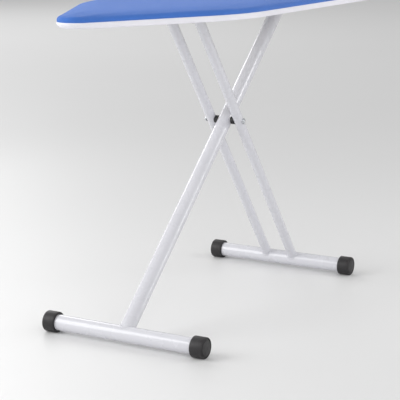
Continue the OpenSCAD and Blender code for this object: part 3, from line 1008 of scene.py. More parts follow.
@dataclass
class SoftTop:
    """The cover, its white binding, the hem's elastic and the felt-and-foam pad.

    Attributes:
        plan: The board's outline.
        loops: Points round the cover's outline.
        crown: Width of the rounded edge of the top.
        shoulder: Share of the cover's depth at which the rounded edge ends and the low crown begins.
        rise_width: How far in from the outline the low crown reaches.
        fabric: Thickness of the cover's cloth.
        swell: How far the cloth may move as the pad fills it.
        pressure: The filling's pressure in the simulation, low because the felt is thin and firm.
        stiffness: The cloth's stiffness in the simulation.
        bending: Its stiffness against bending.
        frames: Length of the simulation.
        held: Height above the seam up to which the cloth is held.
        hem: How far the binding turns under the board.
        nose_tuck: How far the binding is drawn in under the nose.
        gathers: Distance between two gathers of the turned-under hem.
        top: Height of the cover's top.
        seam: Height where the cover meets the binding.
        bottom: Height of the binding's underside.
    """

    plan: BoardPlan
    loops: int = 320
    crown: float = 11 * MM
    shoulder: float = 0.7
    rise_width: float = 75 * MM
    fabric: float = 0.9 * MM
    swell: float = 2.2 * MM
    pressure: float = 0.4
    stiffness: float = 40.0
    bending: float = 2.0
    frames: int = 20
    held: float = 5.5 * MM
    hem: float = 24 * MM
    nose_tuck: float = 10 * MM
    gathers: float = 17 * MM
    top: float = field(init=False)
    seam: float = field(init=False)
    bottom: float = field(init=False)

    def __post_init__(self) -> None:
        """Reads the layers' heights off the frame."""
        low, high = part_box("cover")
        self.top = high[2]
        self.seam = low[2]
        self.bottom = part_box("cover_binding")[0][2]

    def nose_share(self, places: np.ndarray) -> np.ndarray:
        """Tells how far each place belongs to the nose, where the cloth is drawn rounder.

        Args:
            places: Places on the outline.

        Returns:
            1 at the nose's tip, falling smoothly to 0 behind it.
        """
        back = (places[:, 0] + self.plan.length / 2) / (2.2 * self.plan.nose_radius)
        t = np.clip(1 - back, 0, 1)
        return t * t * (3 - 2 * t)

    def edge_profile(self) -> list[tuple[float, float]]:
        """Insets and heights up the cover's side and over its rounded edge, from the seam.

        Returns:
            The profile's points.
        """
        side = 5 * MM
        rise = (self.top - self.seam) * self.shoulder - side
        rounded = [(self.crown * (1 - math.cos(a)), self.seam + side + rise * math.sin(a))
                   for a in np.linspace(0, math.pi / 2, 12)]
        return [(0.5 * MM, self.seam), (0.1 * MM, self.seam + side * 0.5)] + rounded

    def low_crown(self, flat: np.ndarray, inset: float, height: float, peak: float) -> np.ndarray:
        """Heights of the gently domed top, which rises from its rounded edge to its flat middle.

        Args:
            flat: Places on the top.
            inset: Inset of the rounded edge's end.
            height: Height there.
            peak: Height of the middle.

        Returns:
            The heights.
        """
        places, _ = self.plan.loop(self.loops)
        gaps = np.linalg.norm(flat[:, None, :] - places[None, :, :], axis=2).min(axis=1)
        share = np.clip((gaps - inset) / (self.rise_width - inset), 0, 1)
        return height + (peak - height) * (1 - (1 - share) ** 2)

    def inner_rings(self, inset: float, height: float, steps: int,
                    peak: Optional[float] = None) -> list[np.ndarray]:
        """Rings that shrink from the outline to the board's centre line.

        Args:
            inset: The first ring's inset, which isn't itself repeated.
            height: Their height at that inset.
            steps: Number of rings.
            peak: Height of the middle, where the rings rise to a low crown.

        Returns:
            The rings, the last one lying on the centre line.
        """
        places, normals = self.plan.loop(self.loops)
        outer = places - normals * inset
        reach = self.plan.length / 2 - self.plan.width * 0.22
        spine = np.stack([np.clip(outer[:, 0], -reach * 1.12, reach), np.zeros(len(outer))], 1)
        rings = []
        for t in np.linspace(0, 1, steps + 1)[1:]:
            flat = outer + (spine - outer) * t
            heights = np.full(len(flat), height)
            if peak is not None:
                heights = self.low_crown(flat, inset, height, peak)
            rings.append(np.column_stack([flat, heights]))
        return rings

    def form(self) -> tuple[list[np.ndarray], int]:
        """Closed form of the pad and cover before it is filled.

        Returns:
            Its rings from the centre of the underside to the centre of the top, and the number of
            the ring at the seam.
        """
        profile = self.edge_profile()
        under = 8 * MM
        below = self.inner_rings(under, self.seam, 8)[::-1] + [self.plan.ring(self.loops, under, self.seam)]
        side = [self.plan.ring(self.loops, inset, height) for inset, height in profile]
        above = self.inner_rings(*profile[-1], 20, self.top - self.swell * 0.5)
        return below + side + above, len(below)

    def fill(self, points: np.ndarray, faces: Sequence) -> np.ndarray:
        """Fills the closed form by cloth simulation, with the underside and the seam held.

        The simulation runs on a form whose doubled points are merged, because the solver leaves one
        with doubled points as it is. The form's movement is then carried back to all of the points.

        Args:
            points: The closed form's points.
            faces: Its faces.

        Returns:
            The moved points.

        Raises:
            RuntimeError: If the simulation has moved nothing.
        """
        form = piece_from("cover_form", points, faces, BLUE_COTTON)
        point_outwards(form, 0.05)
        before = np.array([v.co[:] for v in form.data.vertices])
        held = form.vertex_groups.new(name="held")
        held.add([i for i, z in enumerate(before[:, 2]) if z < self.seam + self.held], 1.0, "REPLACE")
        cloth = form.modifiers.new("fill", "CLOTH")
        settings = cloth.settings
        settings.use_pressure = True
        settings.uniform_pressure_force = self.pressure
        settings.vertex_group_mass = "held"
        settings.tension_stiffness = self.stiffness
        settings.compression_stiffness = self.stiffness
        settings.shear_stiffness = self.stiffness
        settings.bending_stiffness = self.bending
        settings.quality = 5
        settings.effector_weights.gravity = 0.0
        cloth.point_cache.frame_start = 1
        cloth.point_cache.frame_end = self.frames
        for frame_number in range(1, self.frames + 1):
            bpy.context.scene.frame_set(frame_number)
        graph = bpy.context.evaluated_depsgraph_get()
        moved = np.array([v.co[:] for v in form.evaluated_get(graph).data.vertices]) - before
        bpy.data.objects.remove(form)
        bpy.context.scene.frame_set(1)
        reach = np.linalg.norm(moved, axis=1, keepdims=True)
        if not reach.max() > 0.1 * MM:
            raise RuntimeError("the cloth simulation moved nothing")
        moved *= self.swell / (reach + self.swell)
        log.info("cloth moved by up to %.1f mm, limited to %.1f mm", reach.max() / MM,
                 np.linalg.norm(moved, axis=1).max() / MM)
        tree = KDTree(len(before))
        for i, co in enumerate(before):
            tree.insert(co, i)
        tree.balance()
        return np.array([point + moved[tree.find(point)[1]] for point in points])

    def cut_cloth(self, rings: np.ndarray) -> np.ndarray:
        """Lays the cover's rings out flat: the top as it lies, and the side unrolled round it.

        Args:
            rings: The cover's rings of points, from the seam to the centre line.

        Returns:
            Two coordinates for each point.
        """
        steps = np.linalg.norm(np.diff(rings, axis=0), axis=2)
        edge = len(self.edge_profile()) - 1
        _, normals = self.plan.loop(self.loops)
        flat = rings[:, :, :2].copy()
        for k in range(edge - 1, -1, -1):
            flat[k] = flat[k + 1] + normals * steps[k][:, None]
        return flat.reshape(-1, 2)

    def cover(self) -> bpy.types.Object:
        """Makes the cover: a sheet of cloth over the pad's top and side.

        Returns:
            The piece.
        """
        rings, seam_ring = self.form()
        points, faces = loft(rings)
        points = self.fill(points, faces)
        rings = points.reshape(-1, self.loops, 3)[seam_ring:]
        points, faces = loft(rings)
        piece = piece_from("cover_cloth", points, faces, BLUE_COTTON)
        set_uv(piece, self.cut_cloth(rings))
        face_outwards(piece, lambda shape: sum(f.normal.z * f.calc_area() for f in shape.faces) >= 0,
                      0.05 * MM)
        smooth = piece.modifiers.new("smooth", "SUBSURF")
        smooth.levels = smooth.render_levels = 1
        apply_modifiers(piece)
        thicken(piece, self.fabric)
        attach(piece, Body.BOARD.value)
        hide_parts("cover")
        depth = self.top - self.seam
        self.plan.area() + self.plan.perimeter() * depth * 0.75
        return piece

    def band_profile(self) -> list[tuple[float, float]]:
        """Insets and heights of the binding: down its band, round the rim and under the board.

        Returns:
            The profile's points.
        """
        bend = 3.2 * MM
        low = self.bottom + 0.3 * MM
        out = 0.7 * MM
        band = [(1.4 * MM, self.seam + 1.4 * MM), (-0.1 * MM, self.seam + 0.9 * MM),
                (-out * 0.7, self.seam - 0.6 * MM), (-out, self.seam - 4 * MM),
                (-out, self.seam - 7 * MM)]
        turn = [(bend - out - c, low + bend - s) for c, s in corner((0, 0), bend, 0, 90, 6)]
        return band + turn + [(x, low) for x in np.linspace(6 * MM, self.hem, 9)]

    def binding(self) -> bpy.types.Object:
        """Makes the white binding: a band that turns under the rim, gathered along its inner edge.

        Returns:
            The piece.
        """
        count = 1100
        places, normals = self.plan.loop(count)
        walk = np.concatenate([[0], np.cumsum(np.linalg.norm(np.diff(places, axis=0), axis=1))])
        profile = self.band_profile()
        low = profile[-1][1]
        rng = np.random.default_rng(7)
        phase = np.cumsum(rng.uniform(0.75, 1.25, count)) / count
        waves = round(self.plan.perimeter() / self.gathers)
        turns = 2 * math.pi * waves * phase
        ripple = np.sin(turns) + 0.35 * np.sin(2.3 * turns)
        rings, run, flat = [], 0.0, []
        previous = profile[0]
        for inset, height in profile:
            run += math.hypot(inset - previous[0], height - previous[1])
            previous = (inset, height)
            drop = np.clip((self.seam - height) / (self.seam - low), 0, 1)
            tuck = self.nose_share(places) * drop ** 2.2
            pull = np.clip((inset - 5 * MM) / (self.hem - 5 * MM), 0, 1) ** 1.3
            lift = pull * 0.9 * MM * (ripple + 0.6)
            draw = tuck * self.nose_tuck * np.clip(1 - inset / self.hem, 0, 1)
            spot = places - normals * (inset + draw)[:, None]
            rings.append(np.column_stack([spot, height + lift]))
            flat.append(np.column_stack([walk, np.full(count, run)]))
        points, faces = loft(rings)
        piece = piece_from("cover_binding_tape", points, faces, WHITE_TAPE)
        set_uv(piece, np.concatenate(flat))
        first_out = Vector((*normals[0], 0))
        face_outwards(piece, lambda shape: shape.faces[0].normal.dot(first_out) >= 0)
        thicken(piece, 0.7 * MM)
        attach(piece, Body.BOARD.value)
        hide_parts("cover_binding")
        self.plan.perimeter()
        return piece

    def elastic(self) -> bpy.types.Object:
        """Makes the elastic cord in the hem, which draws the binding under the board.

        Returns:
            The piece.
        """
        low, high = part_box("hem_elastic")
        radius = (high[2] - low[2]) / 2
        rings = [self.plan.ring(420, self.hem + radius * math.cos(a),
                                low[2] + radius * (1.35 + math.sin(a)))
                 for a in np.linspace(0, 2 * math.pi, 12, endpoint=False)]
        points, faces = loft(rings, closed_section=True)
        piece = piece_from("hem_elastic_cord", points, faces, BRAIDED_ELASTIC)
        point_outwards(piece)
        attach(piece, Body.BOARD.value)
        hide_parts("hem_elastic")
        return piece

    def stitches(self) -> bpy.types.Object:
        """Makes the row of stitches that holds the binding to the cover.

        Returns:
            The piece.
        """
        count = 900
        points = self.plan.ring(count, -0.85 * MM, self.seam - 2.2 * MM)
        edges = [(i, (i + 1) % count) for i in range(count)]
        stitch = bead_tree("stitch_row", 3.4 * MM, 0.36 * MM, (6, 5), (0.4, 1.0, 0.6), SEWING_THREAD)
        piece = stitch.run("binding_stitches", points, edges)
        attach(piece, Body.BOARD.value)
        return piece

    def pad(self) -> bpy.types.Object:
        """Makes the felt-and-foam pad under the cover, with a soft upper edge.

        Returns:
            The piece.
        """
        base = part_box("foam_pad")[0][2] + 0.1 * MM
        gap = self.fabric + 1.5 * MM
        outer = 3.0 * MM
        under = 6 * MM
        foot = 1.0 * MM
        crown = self.crown - outer
        height = (self.top - self.seam) * self.shoulder + self.seam - gap - base - foot
        profile = [(under, base), (outer, base), (outer - 0.4 * MM, base + foot)]
        profile += [(outer + crown * (1 - math.cos(a)), base + foot + height * math.sin(a))
                    for a in np.linspace(0.2, math.pi / 2, 9)]
        rings = self.inner_rings(under, base, 10)[::-1]
        rings += [self.plan.ring(self.loops, inset, level) for inset, level in profile]
        rings += self.inner_rings(*profile[-1], 16, self.top - self.swell * 0.5 - gap)
        points, faces = loft(rings)
        piece = piece_from("felt_pad", points, faces, GREY_FELT)
        point_outwards(piece, 0.05)
        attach(piece, Body.BOARD.value)
        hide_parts("foam_pad")
        return piece

    def build(self) -> Iterable[bpy.types.Object]:
        """Makes all of the soft goods."""
        yield self.pad()
        yield self.cover()
        yield self.binding()
        yield self.elastic()
        yield self.stitches()


# ---------- the board's steel ----------


@dataclass
class BoardFrame:
    """The steel under the pad: the perforated sheet with its crimped lip, and its fasteners.

    Attributes:
        plan: The board's outline.
        pitch: Distance between the sheet's holes.
        hole: Radius of a hole.
        border: Width of the plain border round the holes.
        steel: Thickness of the sheet.
        weld: Radius of the welds at the crossmembers' ends.
        ripple: Distance between their ripples.
    """

    plan: BoardPlan
    pitch: float = 20 * MM
    hole: float = 6 * MM
    border: float = 24 * MM
    steel: float = 0.7 * MM
    weld: float = 2.0 * MM
    ripple: float = 1.8 * MM

    def holes(self, limit: float) -> list[tuple[float, float]]:
        """Lays the holes' centres out in staggered rows over the board.

        Args:
            limit: How far in from the outline the centres stay.

        Returns:
            The centres.
        """
        fence = self.plan.ring(400, limit, 0.0)[:, :2]
        row = self.pitch * math.sqrt(3) / 2
        rows = int(self.plan.length / row)
        columns = int(self.plan.width / self.pitch) + 1
        grid = [(i * row, (j + 0.5 * (i % 2)) * self.pitch)
                for i in range(-rows // 2, rows // 2 + 1)
                for j in range(-columns // 2, columns // 2 + 1)]
        return [spot for spot in grid if inside(spot, fence)]

    def lip_section(self, edge: float) -> list[tuple[float, float]]:
        """Section of the sheet's border, from its lip on the rim tube to the first holes and back.

        Args:
            edge: Inset of the CAD sheet's edge.

        Returns:
            Insets and heights.
        """
        low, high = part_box("perforated_top")
        rim_low, rim_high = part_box("rim_tube")
        bend = (rim_high[2] - rim_low[2]) / 2
        inset = self.plan.length / 2 - rim_high[0] + bend
        level = rim_low[2] + bend
        inner = bend + 0.08 * MM
        outer = bend + 0.8 * MM
        lip = [(inset + inner * math.sin(a), level + inner * math.cos(a))
               for a in np.radians(np.linspace(72, 40, 6))]
        skin = [(inset + outer * math.sin(a), level + outer * math.cos(a))
                for a in np.radians(np.linspace(46, 72, 5))]
        flat = [(edge + 0.5 * MM, high[2]), (edge + self.border, high[2]),
                (edge + self.border, low[2]), (edge + 4.5 * MM, low[2])]
        return lip + flat + skin

    def sheet(self) -> bpy.types.Object:
        """Makes the perforated sheet and its border, which is crimped over the rim.

        Returns:
            The piece.
        """
        low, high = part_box("perforated_top")
        edge = self.plan.length / 2 - high[0]
        level = (low[2] + high[2]) / 2
        centres = [(*spot, level) for spot in self.holes(edge + self.border * 0.75)]
        cells = tile_tree(self.pitch, self.hole, POWDER_FRAME).run("perforated_sheet", centres)
        thicken(cells, self.steel, 0.0)
        rings = [self.plan.ring(420, inset, height) for inset, height in self.lip_section(edge)]
        points, faces = loft(rings, closed_section=True)
        border = piece_from("sheet_border", points, faces, POWDER_FRAME)
        point_outwards(border)
        joined = join([cells, border], "perforated_sheet")
        sharp_edges(joined)
        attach(joined, Body.BOARD.value)
        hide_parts("perforated_top")
        return joined

    def screws(self) -> bpy.types.Object:
        """Makes the channel's screw heads, at the corners of the CAD screws' box.

        Returns:
            The piece.
        """
        low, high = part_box("channel_screws")
        aside = 12 * MM
        inset = (high[1] - low[1]) / 2 - aside
        spots = [(x, y, low[2]) for x in (low[0] + inset, high[0] - inset) for y in (-aside, aside)]
        piece = fastener_tree("screw_heads", 4.2 * MM, 2.2 * MM, BRIGHT_ZINC).run("screw_heads", spots)
        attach(piece, Body.BOARD.value)
        return piece

    def rivets(self) -> bpy.types.Object:
        """Makes the bracket rivets' domed heads, at the places of the CAD rivets.

        Returns:
            The piece.
        """
        low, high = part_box("bracket_rivets")
        radius = (high[0] - low[0]) / 2
        x = (low[0] + high[0]) / 2
        outer = high[1] - radius
        inner = middle("pair_tube_left")[1]
        seat = high[2] - 2 * MM
        spots = [(x, side * y, seat) for side in (-1, 1) for y in (inner, outer)]
        piece = fastener_tree("rivet_heads", radius, 1.7 * MM, BRIGHT_ZINC).run("rivet_heads", spots)
        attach(piece, Body.BOARD.value)
        return piece

    def member_welds(self) -> bpy.types.Object:
        """Makes a weld at each end of each crossmember, against the rim.

        Returns:
            The piece.
        """
        points, edges = [], []
        for place in ("front", "hinge", "middle", "rear"):
            low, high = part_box(f"{place}_crossmember")
            level = low[2] + 1 * MM
            for y in (low[1] - 0.8 * MM, high[1] + 0.8 * MM):
                first = len(points)
                points += [(low[0] + 4 * MM, y, level), (high[0] - 4 * MM, y, level)]
                edges.append((first, first + 1))
        bead = bead_tree("weld_bead", self.ripple, self.weld, WELD_BALL, WELD_SHAPE, POWDER_FRAME)
        piece = bead.run("member_welds", points, edges)
        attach(piece, Body.BOARD.value)
        return piece

    def build(self) -> Iterable[bpy.types.Object]:
        """Makes the board's steel pieces."""
        yield self.sheet()
        yield self.screws()
        yield self.rivets()
        yield self.member_welds()


def inside(spot: tuple[float, float], fence: np.ndarray) -> bool:
    """Tells whether a spot lies inside a closed line.

    Args:
        spot: The spot.
        fence: The line's points.

    Returns:
        True if it is inside.
    """
    x, y = spot
    a, b = fence, np.roll(fence, -1, axis=0)
    crosses = (a[:, 1] > y) != (b[:, 1] > y)
    with np.errstate(divide="ignore", invalid="ignore"):
        where = a[:, 0] + (y - a[:, 1]) * (b[:, 0] - a[:, 0]) / (b[:, 1] - a[:, 1])
    return bool(np.count_nonzero(crosses & (where > x)) % 2)


def join(pieces: Sequence[bpy.types.Object], name: str) -> bpy.types.Object:
    """Joins pieces with the same material into one mesh.

    Args:
        pieces: The pieces, which are used up.
        name: The new piece's name.

    Returns:
        The joined piece.
    """
    shape = bmesh.new()
    for piece in pieces:
        shape.from_mesh(piece.data)
    mesh = bpy.data.meshes.new(name)
    shape.to_mesh(mesh)
    shape.free()
    mesh.materials.append(pieces[0].data.materials[0])
    for piece in pieces:
        bpy.data.objects.remove(piece)
    joined = bpy.data.objects.new(name, mesh)
    bpy.context.scene.collection.objects.link(joined)
    return joined


# ---------- the stand ----------


@dataclass
class FootCaps:
    """The rubber cups on the ends of the floor bars.

    Attributes:
        groove: Depth of the ring between a cap's side and its end.
        dome: How far the end stands out at its middle.
        wall: Thickness of the rubber beyond the tube's end.
    """

    groove: float = 1.6 * MM
    dome: float = 1.1 * MM
    wall: float = 4 * MM

    def profile(self, radius: float, bore: float, length: float) -> list[tuple[float, float]]:
        """Section of a cap, from its bore at the tube's side to the middle of its end.

        Args:
            radius: Outer radius.
            bore: The tube's radius.
            length: Length over all.

        Returns:
            Radii and heights.
        """
        lip = 2.0 * MM
        soft = 3.4 * MM
        face = length - self.dome
        edge = radius - soft
        ring = edge - 0.4 * MM
        inner = ring - 2.3 * MM
        points = [(0.0, length - self.wall), (bore, length - self.wall), (bore, 0.0)]
        points += [(radius - lip, 0.0)] + corner((radius - lip, lip), lip, -80, 0, 4)
        points += corner((edge, face - soft), soft, 0, 82, 7)
        points += [(ring, face - self.groove), (ring - 1.8 * MM, face - self.groove),
                   (inner, face - 0.2 * MM)]
        points += [(inner * s, face + self.dome * (1 - s * s)) for s in (0.85, 0.65, 0.4, 0.18)]
        return points + [(0.0, length)]

    def cap(self, node: str, tube: str, body: Body) -> bpy.types.Object:
        """Makes one cap in place of its CAD node.

        Args:
            node: The cap's CAD node.
            tube: The floor bar's CAD node.
            body: The body that it rides on.

        Returns:
            The piece.
        """
        low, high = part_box(node)
        tube_low, tube_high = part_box(tube)
        side = 1 if high[1] > 0 else -1
        radius = (high[0] - low[0]) / 2
        bore = (tube_high[0] - tube_low[0]) / 2 + 0.05 * MM
        points, faces = lathe(self.profile(radius, bore, high[1] - low[1]), 72)
        start = low[1] if side > 0 else high[1]
        centre = ((low[0] + high[0]) / 2, start, high[2] - radius)
        points = turned_to(points, (0, side, 0), centre)
        points[:, 2] = np.maximum(points[:, 2], low[2])
        piece = piece_from(node + "_rubber", points, faces, CAP_RUBBER)
        point_outwards(piece)
        sharp_edges(piece, 50)
        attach(piece, body.value)
        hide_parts(node)
        return piece

    def build(self) -> Iterable[bpy.types.Object]:
        """Makes the four caps."""
        for end, body in (("front", Body.SINGLE), ("rear", Body.PAIR)):
            for side in ("left", "right"):
                yield self.cap(f"{end}_cap_{side}", f"{end}_foot_tube", body)


@dataclass
class StandWelds:
    """The painted weld beads where the legs meet the floor bars.

    Attributes:
        bead: Radius of a bead.
        ripple: Distance between its ripples.
    """

    bead: float = 2.1 * MM
    ripple: float = 1.5 * MM

    def saddle(self, foot: np.ndarray, top: np.ndarray, leg: float, bar: float) -> np.ndarray:
        """Line where a leg's surface meets a floor bar's surface.

        Args:
            foot: Point on the bar's axis, under the leg.
            top: Point further up the leg's axis.
            leg: The leg's radius.
            bar: The bar's radius.

        Returns:
            The line's points.
        """
        up = (top - foot) / np.linalg.norm(top - foot)
        across = np.array([0.0, 1.0, 0.0])
        out = np.cross(up, across)
        points = []
        for turn in np.linspace(0, 2 * math.pi, 96, endpoint=False):
            rise = math.sqrt(bar ** 2 - (leg * math.sin(turn)) ** 2)
            points.append(foot + up * (rise + 0.3 * MM) + (leg + 0.2 * MM) * (
                math.cos(turn) * across + math.sin(turn) * out))
        return np.array(points)

    def bead_on(self, name: str, lines: Sequence[np.ndarray], body: Body) -> bpy.types.Object:
        """Makes the beads of one body.

        Args:
            name: The piece's name.
            lines: The closed lines that they follow.
            body: The body that they ride on.

        Returns:
            The piece.
        """
        points, edges = [], []
        for line in lines:
            first = len(points)
            points += list(line)
            edges += [(first + i, first + (i + 1) % len(line)) for i in range(len(line))]
        bead = bead_tree("weld_bead", self.ripple, self.bead, WELD_BALL, WELD_SHAPE, POWDER_LEG)
        piece = bead.run(name, points, edges)
        sharp_edges(piece, 80)
        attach(piece, body.value)
        return piece

    def build(self) -> Iterable[bpy.types.Object]:
        """Makes the beads of both legs."""
        pivot = joint_place("scissor_pivot")
        front = middle("front_foot_tube")
        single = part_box("single_tube")
        low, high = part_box("front_foot_tube")
        bar = (high[0] - low[0]) / 2
        yield self.bead_on("front_weld", [
            self.saddle(front, pivot, (single[1][1] - single[0][1]) / 2, bar)], Body.SINGLE)
        rear = middle("rear_foot_tube")
        lines = []
        for node in ("pair_tube_left", "pair_tube_right"):
            low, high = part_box(node)
            aside = np.array([0.0, (low[1] + high[1]) / 2, 0.0])
            lines.append(self.saddle(rear + aside, pivot + aside, (high[1] - low[1]) / 2, bar))
        yield self.bead_on("rear_welds", lines, Body.PAIR)


def joint_place(name: str) -> np.ndarray:
    """Gives a joint's place at rest."""
    return next(np.array(j["pos_m"], float) for j in frame["joints"] if j["name"] == name)


@dataclass
class Pivot:
    """The bolt through the crossing: a domed head on one side, a capped nut on the other.

    Attributes:
        rise: Height of the bolt's head.
        flats: Number of flats on the nut.
        hexagon: Height of the nut's hexagon.
        chamfer: Chamfer of its corners.
        bore: Radius of its bore.
    """

    rise: float = 3.5 * MM
    flats: int = 6
    hexagon: float = 3 * MM
    chamfer: float = 0.6 * MM
    bore: float = 4.05 * MM

    def head(self) -> bpy.types.Object:
        """Makes the bolt with its domed, flanged head.

        Returns:
            The piece.
        """
        low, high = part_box("pivot_bolt")
        place = joint_place("scissor_pivot")
        radius = (high[0] - low[0]) / 2
        washer_low, washer_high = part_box("pivot_washers")
        shank = (washer_high[0] - washer_low[0]) / 4
        length = high[1] - low[1]
        rise = self.rise
        dome = [(radius * math.cos(a) * 0.93, rise * 0.25 + (rise * 0.75) * math.sin(a))
                for a in np.linspace(math.pi / 2, 0, 9)]
        profile = [(max(r, 0.0), rise - h) for r, h in dome]
        profile[0] = (0.0, profile[0][1])
        profile += [(radius, rise * 0.8), (radius, rise), (shank, rise), (shank, length - 0.8 * MM),
                    (shank - 0.8 * MM, length), (0.0, length)]
        points, faces = lathe(profile, 48)
        points = turned_to(points, (0, 1, 0), (place[0], low[1], place[2]))
        piece = piece_from("pivot_bolt_steel", points, faces, BRIGHT_ZINC)
        point_outwards(piece)
        sharp_edges(piece)
        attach(piece, Body.PAIR.value)
        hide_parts("pivot_bolt")
        return piece

    def nut(self) -> bpy.types.Object:
        """Makes the capped hexagon nut, with chamfered corners under a dome.

        Returns:
            The piece.
        """
        low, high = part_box("pivot_nut")
        place = joint_place("scissor_pivot")
        radius = (high[0] - low[0]) / 2
        flat = radius * math.cos(math.pi / self.flats)
        hexagon = self.hexagon
        profile = [(self.bore, 0.0), (flat * 0.96, 0.0), (radius, self.chamfer),
                   (radius, hexagon - self.chamfer), (flat * 0.96, hexagon), (5.6 * MM, hexagon),
                   (5.4 * MM, hexagon + 0.7 * MM), (4.5 * MM, hexagon + 1.8 * MM),
                   (2.8 * MM, hexagon + 2.6 * MM), (0.0, high[1] - low[1])]
        points, faces = lathe(profile, 72)
        step = 2 * math.pi / self.flats
        for point in points:
            reach = math.hypot(point[0], point[1])
            if reach > flat:
                turn = math.atan2(point[1], point[0]) % step - step / 2
                point[:2] *= min(reach, flat / math.cos(turn)) / reach
        points = turned_to(points, (0, 1, 0), (place[0], low[1], place[2]))
        piece = piece_from("pivot_cap_nut", points, faces, BRIGHT_ZINC)
        point_outwards(piece)
        sharp_edges(piece, 25)
        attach(piece, Body.PAIR.value)
        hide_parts("pivot_nut")
        return piece

    def build(self) -> Iterable[bpy.types.Object]:
        """Makes the bolt and the nut."""
        yield self.head()
        yield self.nut()


@dataclass
class ReleaseGear:
    """The lever's grip and its return spring.

    Attributes:
        thick: Half of the grip's thickness.
        ribs: Number of finger ribs on the grip.
        turns: Turns of the spring.
    """

    thick: float = 6 * MM
    ribs: int = 7
    turns: float = 5.0

    def grip(self) -> bpy.types.Object:
        """Makes the moulded grip: a flat oval with ribs and a rounded end.

        Returns:
            The piece.
        """
        low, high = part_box("lever_grip")
        near, far = (low[1], high[1]) if high[1] > 0 else (high[1], low[1])
        x = (low[0] + high[0]) / 2
        start = np.array([x, near, high[2] - self.thick])
        end = np.array([x, far, low[2] + self.thick])
        wide = (high[0] - low[0]) / 2
        least = 0.2 * MM
        side = np.array([1.0, 0.0, 0.0])
        up = np.cross(side, (end - start) / np.linalg.norm(end - start))
        turns = np.linspace(0, 2 * math.pi, 40, endpoint=False)
        across, over = (np.sign(wave) * np.abs(wave) ** 0.8 for wave in (np.cos(turns), np.sin(turns)))
        rings = []
        for s in np.linspace(0, 1, 45):
            taper = math.sqrt(max(0.0, 1 - abs(2 * s - 1) ** 8))
            wave = 0.5 + 0.5 * math.cos(2 * math.pi * self.ribs * s)
            rib = 1 - 0.07 * wave * (0.15 < s < 0.85)
            a = max(wide * taper, least) * (0.97 + 0.03 * rib)
            b = max(self.thick * taper, least) * rib
            rings.append(start + (end - start) * s + np.outer(across * a, side) + np.outer(over * b, up))
        points, faces = loft(rings)
        count = len(turns)
        faces.append(tuple(range(count)))
        faces.append(tuple(range(len(points) - count, len(points))))
        piece = piece_from("lever_grip_moulding", points, faces, BLACK_NYLON)
        point_outwards(piece)
        sharp_edges(piece, 60)
        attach(piece, Body.LEVER.value)
        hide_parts("lever_grip")
        return piece

    def spring(self) -> bpy.types.Object:
        """Makes the return spring, a coil about the release rod.

        Returns:
            The piece.
        """
        low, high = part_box("release_spring")
        wire = 0.6 * MM
        radius = (high[1] - low[1]) / 2 - wire
        centre = (low[0] + wire, (low[1] + high[1]) / 2, (low[2] + high[2]) / 2)
        coil = coil_tree(self.turns, radius, wire, high[0] - low[0] - 2 * wire, BRIGHT_ZINC)
        piece = coil.run("release_spring_coil", [centre])
        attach(piece, Body.LEVER.value)
        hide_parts("release_spring")
        return piece

    def build(self) -> Iterable[bpy.types.Object]:
        """Makes the grip and the spring."""
        yield self.grip()
        yield self.spring()


def dress_frame() -> None:
    """Gives every CAD node that stays in view its material."""
    by_finish = {
        POWDER_FRAME: ("rim_tube", "front_crossmember", "hinge_crossmember", "middle_crossmember",
                       "rear_crossmember", "slide_channel", "hinge_bracket_left",
                       "hinge_bracket_right"),
        POWDER_LEG: ("pair_tube_left", "pair_tube_right", "rear_foot_tube", "single_tube",
                     "front_foot_tube"),
        BLACK_NYLON: ("pivot_spacer_left", "pivot_spacer_right", "pair_top_plugs", "slide_head"),
        NATURAL_NYLON: ("pivot_bush", "slide_washers"),
        BRIGHT_ZINC: ("channel_screws", "bracket_rivets", "hinge_pins", "hinge_clips",
                      "release_bearings", "release_rod", "latch_comb", "crush_sleeves",
                      "slide_axle", "retaining_washers", "axle_clips", "pivot_washers"),
    }
    for finish, names in by_finish.items():
        for name in names:
            mesh = frame["nodes"][name].data
            mesh.materials.clear()
            mesh.materials.append(finish.build())


# ---------- studio ----------


@dataclass(frozen=True)
class Softbox:
    """One soft rectangular light that faces the stand.

    Attributes:
        name: The light's name.
        place: Where it is.
        size: Its width and height.
        watts: Its power.
    """

    name: str
    place: tuple[float, float, float]
    size: tuple[float, float]
    watts: float

    def build(self, target: tuple[float, float, float]) -> None:
        """Makes the light and turns it to a point."""
        data = bpy.data.lights.new(self.name, "AREA")
        data.shape = "RECTANGLE"
        data.size, data.size_y = self.size
        data.energy = self.watts
        light = bpy.data.objects.new(self.name, data)
        bpy.context.scene.collection.objects.link(light)
        light.location = self.place
        aim = Vector(target) - Vector(self.place)
        light.rotation_euler = aim.to_track_quat("-Z", "Y").to_euler()


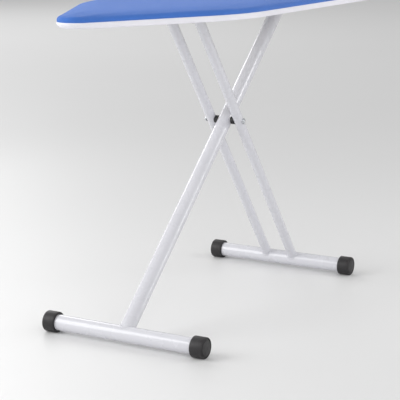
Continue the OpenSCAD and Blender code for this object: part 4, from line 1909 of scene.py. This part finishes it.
@dataclass
class Studio:
    """A pale floor, soft light and the camera.

    Attributes:
        eye: The camera's place.
        heading: Its direction from +X towards +Y, in degrees.
        pitch: Its direction above the horizon, in degrees.
        lens_mm: Its focal length on a 36 mm sensor.
        room: Strength of the room's even light.
        target: The point that the lights face, in the middle of the stand.
        lights: Two softboxes on the left, one in front, and two strips that edge the tubes.
        reach: Half of the floor's side, far larger than the view.
    """

    eye: tuple[float, float, float] = (-3.192, -1.7576, 1.0602)
    heading: float = 29.463
    pitch: float = -12.218
    lens_mm: float = 126.5
    room: float = 0.565
    target: tuple[float, float, float] = (0.0, 0.0, 0.45)
    lights: tuple[Softbox, ...] = (
        Softbox("key_left", (-2.06, 2.33, 1.8), (2.4, 2.4), 65.0),
        Softbox("far_left", (5.4, 7.2, 5.0), (5.0, 5.0), 215.0),
        Softbox("strip_right", (1.1, -2.1, 1.0), (0.3, 2.0), 12.0),
        Softbox("strip_left", (0.88, 2.34, 0.9), (0.12, 1.7), 3.0),
        Softbox("front", (-2.9, -2.5, 1.8), (2.4, 2.4), 41.0),
    )
    reach: float = 60.0

    def camera(self) -> None:
        """Makes the camera, level and aimed by its heading and pitch."""
        data = bpy.data.cameras.new("camera")
        data.lens = self.lens_mm
        data.sensor_width = 36.0
        data.clip_end = 200.0
        camera = bpy.data.objects.new("camera", data)
        bpy.context.scene.collection.objects.link(camera)
        camera.location = self.eye
        camera.rotation_euler = (math.radians(90 + self.pitch), 0.0, math.radians(self.heading - 90))
        bpy.context.scene.camera = camera

    def floor(self) -> None:
        """Makes the floor, a hair below the feet."""
        reach = self.reach
        corners = [(-reach, -reach, 0), (reach, -reach, 0), (reach, reach, 0), (-reach, reach, 0)]
        floor = piece_from("studio_floor", corners, [(0, 1, 2, 3)], STUDIO_FLOOR, smooth=False)
        floor.location.z = -0.2 * MM

    def air(self) -> None:
        """Makes the room's even white light."""
        world = bpy.data.worlds.new("studio_air")
        world.use_nodes = True
        background = world.node_tree.nodes["Background"]
        background.inputs["Color"].default_value = linear_colour("#FFFFFF")
        background.inputs["Strength"].default_value = self.room
        bpy.context.scene.world = world

    def build(self) -> None:
        """Makes the studio."""
        view = bpy.context.scene.view_settings
        view.view_transform = "Standard"
        view.look = "None"
        self.camera()
        self.floor()
        self.air()
        for light in self.lights:
            light.build(self.target)


def main() -> None:
    """Builds the object's looks in order and reports each piece."""
    Studio().build()
    dress_frame()
    low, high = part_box("cover")
    plan = BoardPlan(length=high[0] - low[0], width=high[1] - low[1])
    assemblies = [SoftTop(plan), BoardFrame(plan), FootCaps(), StandWelds(), Pivot(), ReleaseGear()]
    for assembly in assemblies:
        for piece in assembly.build():
            log.info("%s: %s, %d faces", type(assembly).__name__, piece.name, len(piece.data.polygons))


if __name__ == "__main__":
    main()
